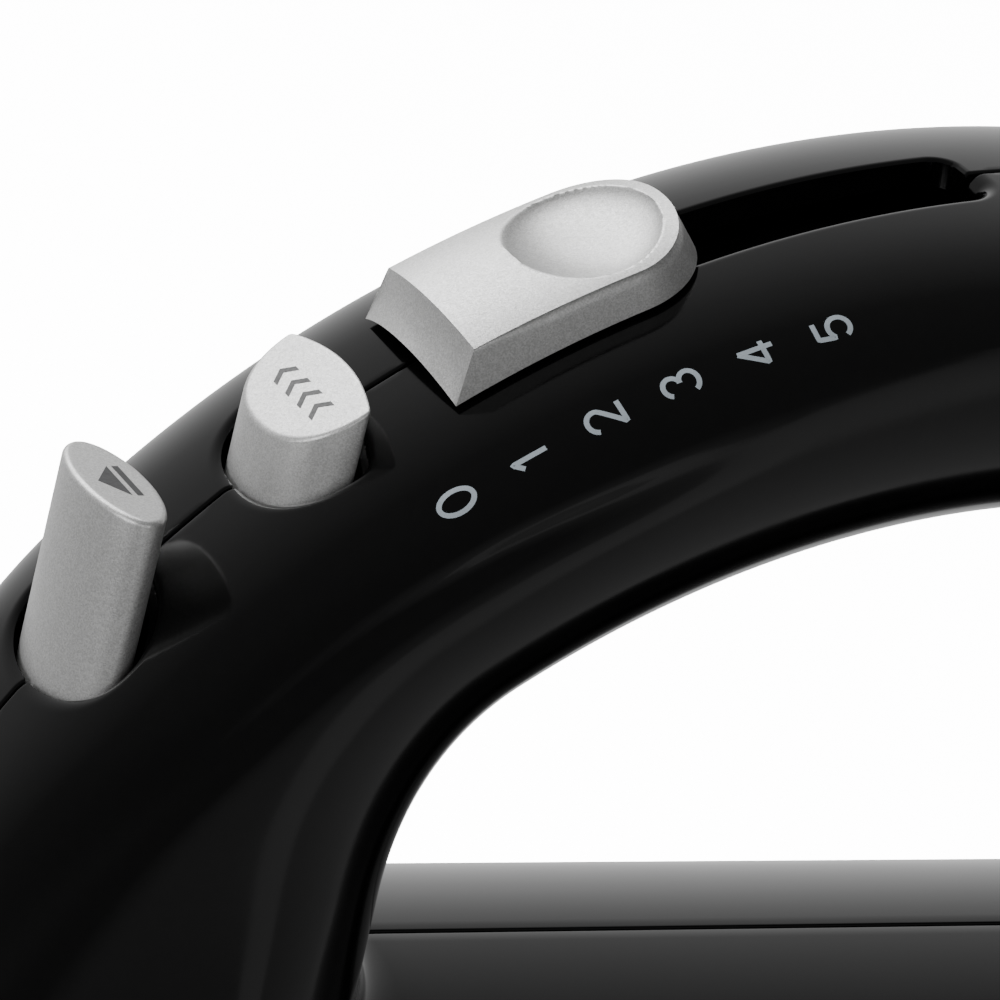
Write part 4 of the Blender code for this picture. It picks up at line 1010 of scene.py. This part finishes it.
# strokes in a cell 1 wide and 1.6 high, origin at its centre
DIGITS = {
    "0": [(arc_pts(0, 0, 0.5, 0.8, 0, 360, 60)[:-1], True)],
    "1": [(line_pts((-0.32, 0.42), (0.06, 0.8), 8) + line_pts((0.06, 0.8), (0.06, -0.8), 24)[1:], False)],
    "2": [(arc_pts(0, 0.34, 0.47, 0.46, 165, -18, 26) + line_pts((0.40, 0.12), (-0.48, -0.76), 14)[1:]
           + line_pts((-0.48, -0.8), (0.5, -0.8), 12), False)],
    "3": [(arc_pts(-0.02, 0.40, 0.42, 0.40, 160, -80, 26) + arc_pts(-0.02, -0.38, 0.48, 0.42, 80, -160, 30), False)],
    "4": [(line_pts((0.2, 0.8), (-0.5, -0.32), 16) + line_pts((-0.5, -0.36), (0.5, -0.36), 14), False),
          (line_pts((0.2, 0.8), (0.2, -0.8), 22), False)],
    "5": [(line_pts((0.42, 0.8), (-0.34, 0.8), 10) + line_pts((-0.36, 0.8), (-0.44, 0.06), 10)[1:]
           + arc_pts(-0.02, -0.28, 0.48, 0.50, 138, -150, 30), False)],
}
DIGIT_H, DIGIT_W, PEN = 2.95, 1.9, 0.42
DIGIT_AT = [("0", -36.44), ("1", -32.91), ("2", -29.38), ("3", -25.84), ("4", -22.31), ("5", -18.78)]
DIGIT_Y = -15.29


def print_marks():
    """Digits laid on the shoulder of the left half: up is towards the nose, right is towards +Y."""
    verts, faces = [], []
    base = np.array([0.0, 0.0, 0.0])
    for d, deg in DIGIT_AT:
        x, z = on_arc(deg, ARC_R - 2.79)
        p = snap(np.array([[x, DIGIT_Y, z]]), 6)[0]
        nrm = normals(p[None])[0]
        th = math.radians(deg)
        fwd = np.array([-math.cos(th), 0.0, math.sin(th)])
        up = fwd - nrm * (fwd @ nrm)
        up /= np.linalg.norm(up)
        right = np.cross(up, nrm)
        if right[1] < 0:
            right = -right
        for path, closed in DIGITS[d]:
            q = np.array([(u * DIGIT_W, v * DIGIT_H / 1.6) for u, v in path])
            k = len(q)
            a, b = stroke_outline(q, PEN, closed)
            cols = [b, b * 0.5 + a * 0.5, a]
            start = len(verts)
            for h in (0.012, -0.03):
                for col in cols:
                    w = p + col[:, 0:1] * right + col[:, 1:2] * up
                    w = snap(w, 4)
                    w = w + normals(w) * h
                    verts += list(w)
            # 6 columns: 0..2 top, 3..5 bottom
            order = [0, 1, 2, 5, 4, 3]
            for i in range(k if closed else k - 1):
                j = (i + 1) % k
                for s in range(6):
                    c0, c1 = order[s], order[(s + 1) % 6]
                    faces.append((start + c0 * k + i, start + c1 * k + i, start + c1 * k + j, start + c0 * k + j))
            if not closed:
                for e in (0, k - 1):
                    faces.append(tuple(start + c * k + e for c in order))
    me = outward(mesh_of("speed_digits", verts, faces))
    put("speed_digits", me, "print_grey", "body", (), 40.0)


def pictogram(name, shapes, centre, slope, top_at, body):
    """Flat marks on a button's top. shapes: outlines in (across, up), across = +Y, up = -X."""
    t = math.radians(slope)
    verts, faces = [], []
    for s in shapes:
        o = ccw(np.asarray(s, float))
        n = len(o)
        start = len(verts)
        for h in (-0.06, 0.016):
            for u, v in o:
                x = centre - v * math.cos(t)
                y = u
                z = top_at(x, y) + h
                verts.append((x, y, z))
        faces.append(tuple(range(start, start + n))[::-1])
        faces.append(tuple(range(start + n, start + 2 * n)))
        faces += [(start + j, start + (j + 1) % n, start + n + (j + 1) % n, start + n + j) for j in range(n)]
    me = mesh_of(name, verts, faces)
    bm = bmesh.new()
    bm.from_mesh(me)
    bmesh.ops.triangulate(bm, faces=[f for f in bm.faces if len(f.verts) > 4])
    bmesh.ops.recalc_face_normals(bm, faces=bm.faces)
    bm.to_mesh(me)
    bm.free()
    put(name, me, "print_dark", body, (), 30.0)


def band(a, b, w):
    """Straight stroke between two points, as an outline."""
    a, b = np.array(a, float), np.array(b, float)
    d = (b - a) / np.linalg.norm(b - a)
    n = np.array([-d[1], d[0]]) * w / 2
    return [a + n, b + n, b - n, a - n]


print_marks()
TX = TURBO_X1 - TURBO_BULGE


def turbo_top(x, y):
    return TURBO_TOP + math.tan(math.radians(TURBO_SLOPE)) * (x - TX)


def chevron(c):
    h, w, p = 1.05, 0.85, 0.46
    return [(c - w, h), (c - w + p * 1.5, h), (c + w * 0.9, 0), (c - w + p * 1.5, -h), (c - w, -h), (c + w * 0.9 - p * 1.5, 0)]


pictogram("boost_mark", [chevron(-3.2), chevron(-1.05), chevron(1.1), chevron(3.25)], -70.15, TURBO_SLOPE, turbo_top, "turbo_key")
pictogram("release_mark", [[(-2.6, -0.35), (2.6, -0.35), (0.0, 1.45)], band((-2.6, -1.05), (2.6, -1.05), 0.55)], EJECT_X, 1.0,
          lambda x, y: EJECT_TOP + math.tan(math.radians(1.0)) * (x - EJECT_X), "eject_key")


# ------------------------------------------------------------ beaters, sockets, heel, cord inlet
def beaters():
    for tag, s, turn in (("left", -1, 0.0), ("right", 1, 45.0)):
        cy = s * WHEEL_Y
        prof = rounded([(0.0, -80.9), (2.1, -80.9), (3.0, -82.4), (3.0, -128.2), (6.6, -128.2), (6.6, -130.2), (3.2, -132.4), (3.0, -133.6),
                        (3.0, -146.6), (6.2, -148.8), (6.4, -149.6), (6.4, -151.6), (5.6, -152.2), (2.0, -152.4), (0.0, -153.4)], 0.45, 4)
        me = lathe("shaft", "Z", (WHEEL_X, cy), prof, 64)
        put("whisk_shaft_" + tag, me, "beater_steel", "beater_" + tag, ("beater_shaft_" + tag,), 40.0)
        for letter, add, low in (("a", 0.0, 0.0), ("b", 90.0, 3.1)):
            pts, rad = [], []
            n = 160
            for i in range(n + 1):
                u = -1.0 + 2.0 * i / n
                q = abs(u)
                if q > 0.5:
                    t = (q - 0.5) / 0.5
                    r = 4.7 + (21.0 - 4.7) * max(0.0, math.cos(t * math.pi / 2.0)) ** 0.9
                    z = -198.0 + (-153.4 + 198.0) * t ** 1.15
                else:
                    t = q / 0.5
                    r = 21.0 * math.sin(t * math.pi / 2.0) ** 0.8
                    z = -198.0 + (-243.0 + low + 198.0) * max(0.0, math.cos(t * math.pi / 2.0)) ** 0.75
                d = math.radians(turn + add)
                sg = 1.0 if u >= 0 else -1.0
                pts.append((WHEEL_X + sg * r * math.cos(d), cy + sg * r * math.sin(d), z))
            pts = np.array(pts)
            for _ in range(6):
                pts[1:-1] = 0.25 * pts[:-2] + 0.5 * pts[1:-1] + 0.25 * pts[2:]
            seg = np.concatenate([[0.0], np.cumsum(np.linalg.norm(np.diff(pts, axis=0), axis=1))])
            t = np.linspace(0, seg[-1], 180)
            pts = np.stack([np.interp(t, seg, pts[:, c]) for c in range(3)], -1)
            put("whisk_wire_%s_%s" % (tag, letter), tube("w", pts, 1.25, 20), "beater_steel", "beater_" + tag,
                ("beater_loop_%s_%s" % (tag, letter),), 50.0)


beaters()


def socket_trim():
    out = ccw(even(np.array(stadium(WHEEL_X, WHEEL_Y, 13.5, 60)), 240))
    rings = []
    for d, z in ((0.0, -111.1), (0.0, -125.6)):
        rings.append(np.column_stack([inset(out, d), np.full(240, z)]))
    for k in range(1, 7):
        a = math.pi / 2 * k / 6
        rings.append(np.column_stack([inset(out, 1.4 * (1 - math.cos(a))), np.full(240, -125.6 - 1.4 * math.sin(a))]))
    for d, z in ((2.6, -127.0), (2.8, -126.6), (3.2, -126.4), (3.6, -126.6), (3.9, -127.0)):
        rings.append(np.column_stack([inset(out, d), np.full(240, z)]))
    me = rings_solid("trim", rings[::-1])
    o = put("socket_trim", me, "socket_trim", None, (), None)
    for s in (-1, 1):
        cut(o, lathe("c", "Z", (WHEEL_X, s * WHEEL_Y), rounded([(0.0, -110.0), (6.2, -110.0), (6.2, -125.6), (7.6, -127.2), (8.4, -130.0), (0.0, -130.0)], 0.5), 64))
    o.data.shade_smooth()
    o.data.set_sharp_from_angle(angle=math.radians(30))
    o.data.materials.clear()
    o.data.materials.append(MAT["socket_trim"])
    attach(o, "body")
    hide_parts("socket_plate")
    for s, tag in ((-1, "left"), (1, "right")):
        me = lathe("collar", "Z", (WHEEL_X, s * WHEEL_Y), rounded([(8.6, -126.9), (10.6, -126.9), (10.6, -127.6), (9.4, -128.0), (8.8, -127.8), (8.6, -127.4)], 0.25, 4), 72, ring=True)
        put("socket_ring_" + tag, me, "socket_trim", "body", (), 40.0)


socket_trim()


def heel():
    out = ccw(even(np.array(round_rect(-24.0, -112.0, 24.0, -66.0, 7.0)), 200))
    rings = [np.column_stack([np.full(200, REAR_X + 0.8), out])]
    for k in range(0, 7):
        a = math.pi / 2 * k / 6
        rings.append(np.column_stack([np.full(200, REAR_X + 2.8 - 0.9 * (1 - math.sin(a))), inset(out, 0.9 * (1 - math.cos(a)))]))
    me = rings_solid("pad", rings)
    o = put("heel_rest_pad", me, "rubber", None, (), None)
    for k in range(-3, 4):
        z = -89.0 + 5.6 * k
        g = [(u, z + v) for u, v in round_rect(-17.0, -0.8, 17.0, 0.8, 0.7)]
        cut(o, prism(g, REAR_X + 2.0, REAR_X + 4.0, "YZ"))
    o.data.shade_smooth()
    o.data.set_sharp_from_angle(angle=math.radians(30))
    o.data.materials.clear()
    o.data.materials.append(MAT["rubber"])
    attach(o, "body")
    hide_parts("heel_pad")
    # cord inlet: ribbed gland
    prof = [(3.6, 86.0), (6.0, 86.0), (6.0, 94.2), (7.6, 94.6), (7.6, 95.8), (6.4, 96.2), (6.4, 96.7), (5.8, 96.9), (5.8, 97.4), (6.3, 97.6),
            (6.2, 98.1), (5.5, 98.3), (5.5, 98.7), (5.6, 99.1), (5.2, 99.4), (3.6, 99.4)]
    put("cord_inlet", lathe("g", "X", (0.0, -38.0), rounded(prof, 0.18, 3) , 72, ring=True), "rubber", "body", ("cord_gland",), 35.0)


heel()


def screws():
    """Cross-recess heads in the right half's sinks."""
    for i, (x, z) in enumerate(CASE_SCREWS):
        y0 = 2.4
        prof = rounded([(0.0, y0 + 8.6), (2.0, y0 + 8.6), (2.8, y0 + 8.0), (3.0, y0 + 7.4), (3.0, y0 + 6.6), (1.5, y0 + 6.0), (1.5, y0 - 8.2), (0.0, y0 - 9.6)], 0.3, 4)
        o = put("housing_screw_%d" % (i + 1), lathe("s", "Y", (x, z), prof, 48), "zinc_steel", None, (), None)
        for a in (0.35 + i, 0.35 + i + math.pi / 2):
            c, s = math.cos(a), math.sin(a)
            r = [(u * c - v * s + x, u * s + v * c + z) for u, v in ((-1.9, -0.3), (1.9, -0.3), (1.9, 0.3), (-1.9, 0.3))]
            cut(o, prism(r, y0 + 7.3, y0 + 10.0, "XZ"))
        o.data.shade_smooth()
        o.data.set_sharp_from_angle(angle=math.radians(35))
        o.data.materials.clear()
        o.data.materials.append(MAT["zinc_steel"])
        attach(o, "body")
        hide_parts("case_screw_%d" % (i + 1))


screws()

# ------------------------------------------------------------ remaining CAD nodes
SLOTS = {}
for m in frame["record"].get("materials", []):
    for nd in m.get("nodes", []) or []:
        SLOTS[nd] = m.get("slot")


def finish_of(node):
    n = SLOTS.get(node)
    if n in MAT:
        return n
    o = frame["nodes"][node]
    names = [s.material.name.split(".")[0] for s in o.material_slots if s.material]
    for k in names:
        if k in MAT:
            return k
    return "grey_plastic"


for node, o in frame["nodes"].items():
    if o.hide_render:
        continue
    mat = MAT[finish_of(node)]
    if not o.material_slots:
        o.data.materials.append(mat)
    for s in o.material_slots:
        s.material = mat

# ------------------------------------------------------------ floor, lights, camera
LO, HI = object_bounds()
centre = (LO + HI) / 2
floor_z = LO.z - 0.0056                              # the beaters drop 5 mm when released


def stage_floor():
    n = 60
    prof = []
    for i in range(n + 1):
        prof.append(i)
    bm = bmesh.new()
    S = 6.0
    pts = [(-S, 0.0), (S, 0.0)]
    bmesh.ops.create_grid(bm, x_segments=24, y_segments=24, size=S)
    me = bpy.data.meshes.new("floor")
    bm.to_mesh(me)
    bm.free()
    o = bpy.data.objects.new("floor", me)
    bpy.context.scene.collection.objects.link(o)
    o.location = (centre.x, centre.y, floor_z)
    k = Nodes("floor", (0.86, 0.86, 0.86), 0.6)
    k.link(k.ramp(k.noise(6.0, 3.0, 0.5), [(0.3, (0.85, 0.85, 0.85)), (0.7, (0.88, 0.88, 0.88))]), "Base Color")
    me.materials.append(MAT["floor"])
    o.visible_diffuse = False                             # the floor's glare stays out of the gloss
    o.visible_glossy = False
    o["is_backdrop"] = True


stage_floor()


def area(name, loc, aim, size, power, size_y=None, col=(1, 1, 1)):
    d = bpy.data.lights.new(name, "AREA")
    d.energy = power
    d.color = col
    d.size = size
    if size_y:
        d.shape = "RECTANGLE"
        d.size_y = size_y
    o = bpy.data.objects.new(name, d)
    bpy.context.scene.collection.objects.link(o)
    o.location = loc
    o.rotation_euler = (Vector(aim) - Vector(loc)).to_track_quat("-Z", "Y").to_euler()
    return o


# camera: long lens from the front left, a little above, rolled with the handle
AZ, EL, ROLL = math.radians(-32.03), math.radians(21.36), math.radians(14.3)
grip_lo, grip_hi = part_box("slider_carrier")
TARGET = Vector((-0.05029, 0.0, -0.0153))
DIST = 0.4954
back = Vector((math.sin(AZ) * math.cos(EL), -math.cos(AZ) * math.cos(EL), math.sin(EL)))
right = Vector((math.cos(AZ), math.sin(AZ), 0.0))
up = back.cross(right)
r2 = right * math.cos(ROLL) + up * math.sin(ROLL)
u2 = -right * math.sin(ROLL) + up * math.cos(ROLL)
cam_data = bpy.data.cameras.new("camera")
cam_data.sensor_width = 36.0
cam_data.lens = 6293.0 / 1000.0 * 36.0
cam_data.clip_start = 0.02
cam_data.clip_end = 50.0
cam = bpy.data.objects.new("camera", cam_data)
bpy.context.scene.collection.objects.link(cam)
cam.matrix_world = Matrix(((r2.x, u2.x, back.x, 0), (r2.y, u2.y, back.y, 0), (r2.z, u2.z, back.z, 0), (0, 0, 0, 1)))
cam.matrix_world.translation = TARGET + back * DIST
bpy.context.scene.camera = cam

T = TARGET
keys = [area("back_top", T + Vector((-0.30, 1.15, 1.05)), T, 1.1, 27.0),
        area("left_soft", T + Vector((-1.3, -0.15, 0.30)), T, 0.7, 8.5),
        area("front_fill", T + Vector((-0.35, -1.15, 0.25)), T, 0.9, 3.2)]
not_case = bpy.data.collections.new("keyed")              # the gloss black halves are lit by the sky and the strips
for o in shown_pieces():
    if not o.name.startswith("case_"):
        not_case.objects.link(o)
for k in keys:
    k.light_linking.receiver_collection = not_case
area("low_strip", T + Vector((0.62, -0.95, -0.12)), T + Vector((0.02, 0.0, -0.02)), 0.22, 0.11, 0.9)
over = area("floor_light", T + Vector((0.0, 0.6, 2.6)), T + Vector((0.0, 0.6, 0.0)), 4.5, 2600.0)
lit = bpy.data.collections.new("floor_only")
lit.objects.link(bpy.data.objects["floor"])
over.light_linking.receiver_collection = lit

world = bpy.data.worlds.new("world")
bpy.context.scene.world = world
world.use_nodes = True
wt = world.node_tree
bg = wt.nodes["Background"]
co = wt.nodes.new("ShaderNodeTexCoord")


def toward(vec, stops):
    """Grey levels by the angle to a direction."""
    dot = wt.nodes.new("ShaderNodeVectorMath")
    dot.operation = "DOT_PRODUCT"
    wt.links.new(co.outputs["Generated"], dot.inputs[0])
    dot.inputs[1].default_value = Vector(vec).normalized()
    mr = wt.nodes.new("ShaderNodeMapRange")
    mr.inputs["From Min"].default_value = -1.0
    mr.inputs["From Max"].default_value = 1.0
    wt.links.new(dot.outputs["Value"], mr.inputs["Value"])
    ramp = wt.nodes.new("ShaderNodeValToRGB")
    wt.links.new(mr.outputs[0], ramp.inputs["Fac"])
    e = ramp.color_ramp.elements
    while len(e) < len(stops):
        e.new(0.5)
    for q, (pos, g) in zip(e, stops):
        q.position = pos
        q.color = (g, g, g, 1)
    return ramp.outputs["Color"]


# bright behind the mixer, nearly dark on the user's side
back_glow = toward((0.30, 0.92, -0.10), [(0.0, 0.10), (0.50, 0.14), (0.70, 0.30), (0.90, 0.55), (0.97, 0.92), (1.0, 1.0)])
low_glow = toward((0.30, -0.10, -1.0), [(0.0, 0.0), (0.55, 0.0), (0.80, 0.12), (1.0, 0.24)])
both = wt.nodes.new("ShaderNodeVectorMath")
both.operation = "ADD"
wt.links.new(back_glow, both.inputs[0])
wt.links.new(low_glow, both.inputs[1])
wt.links.new(both.outputs[0], bg.inputs["Color"])
bg.inputs["Strength"].default_value = 1.0
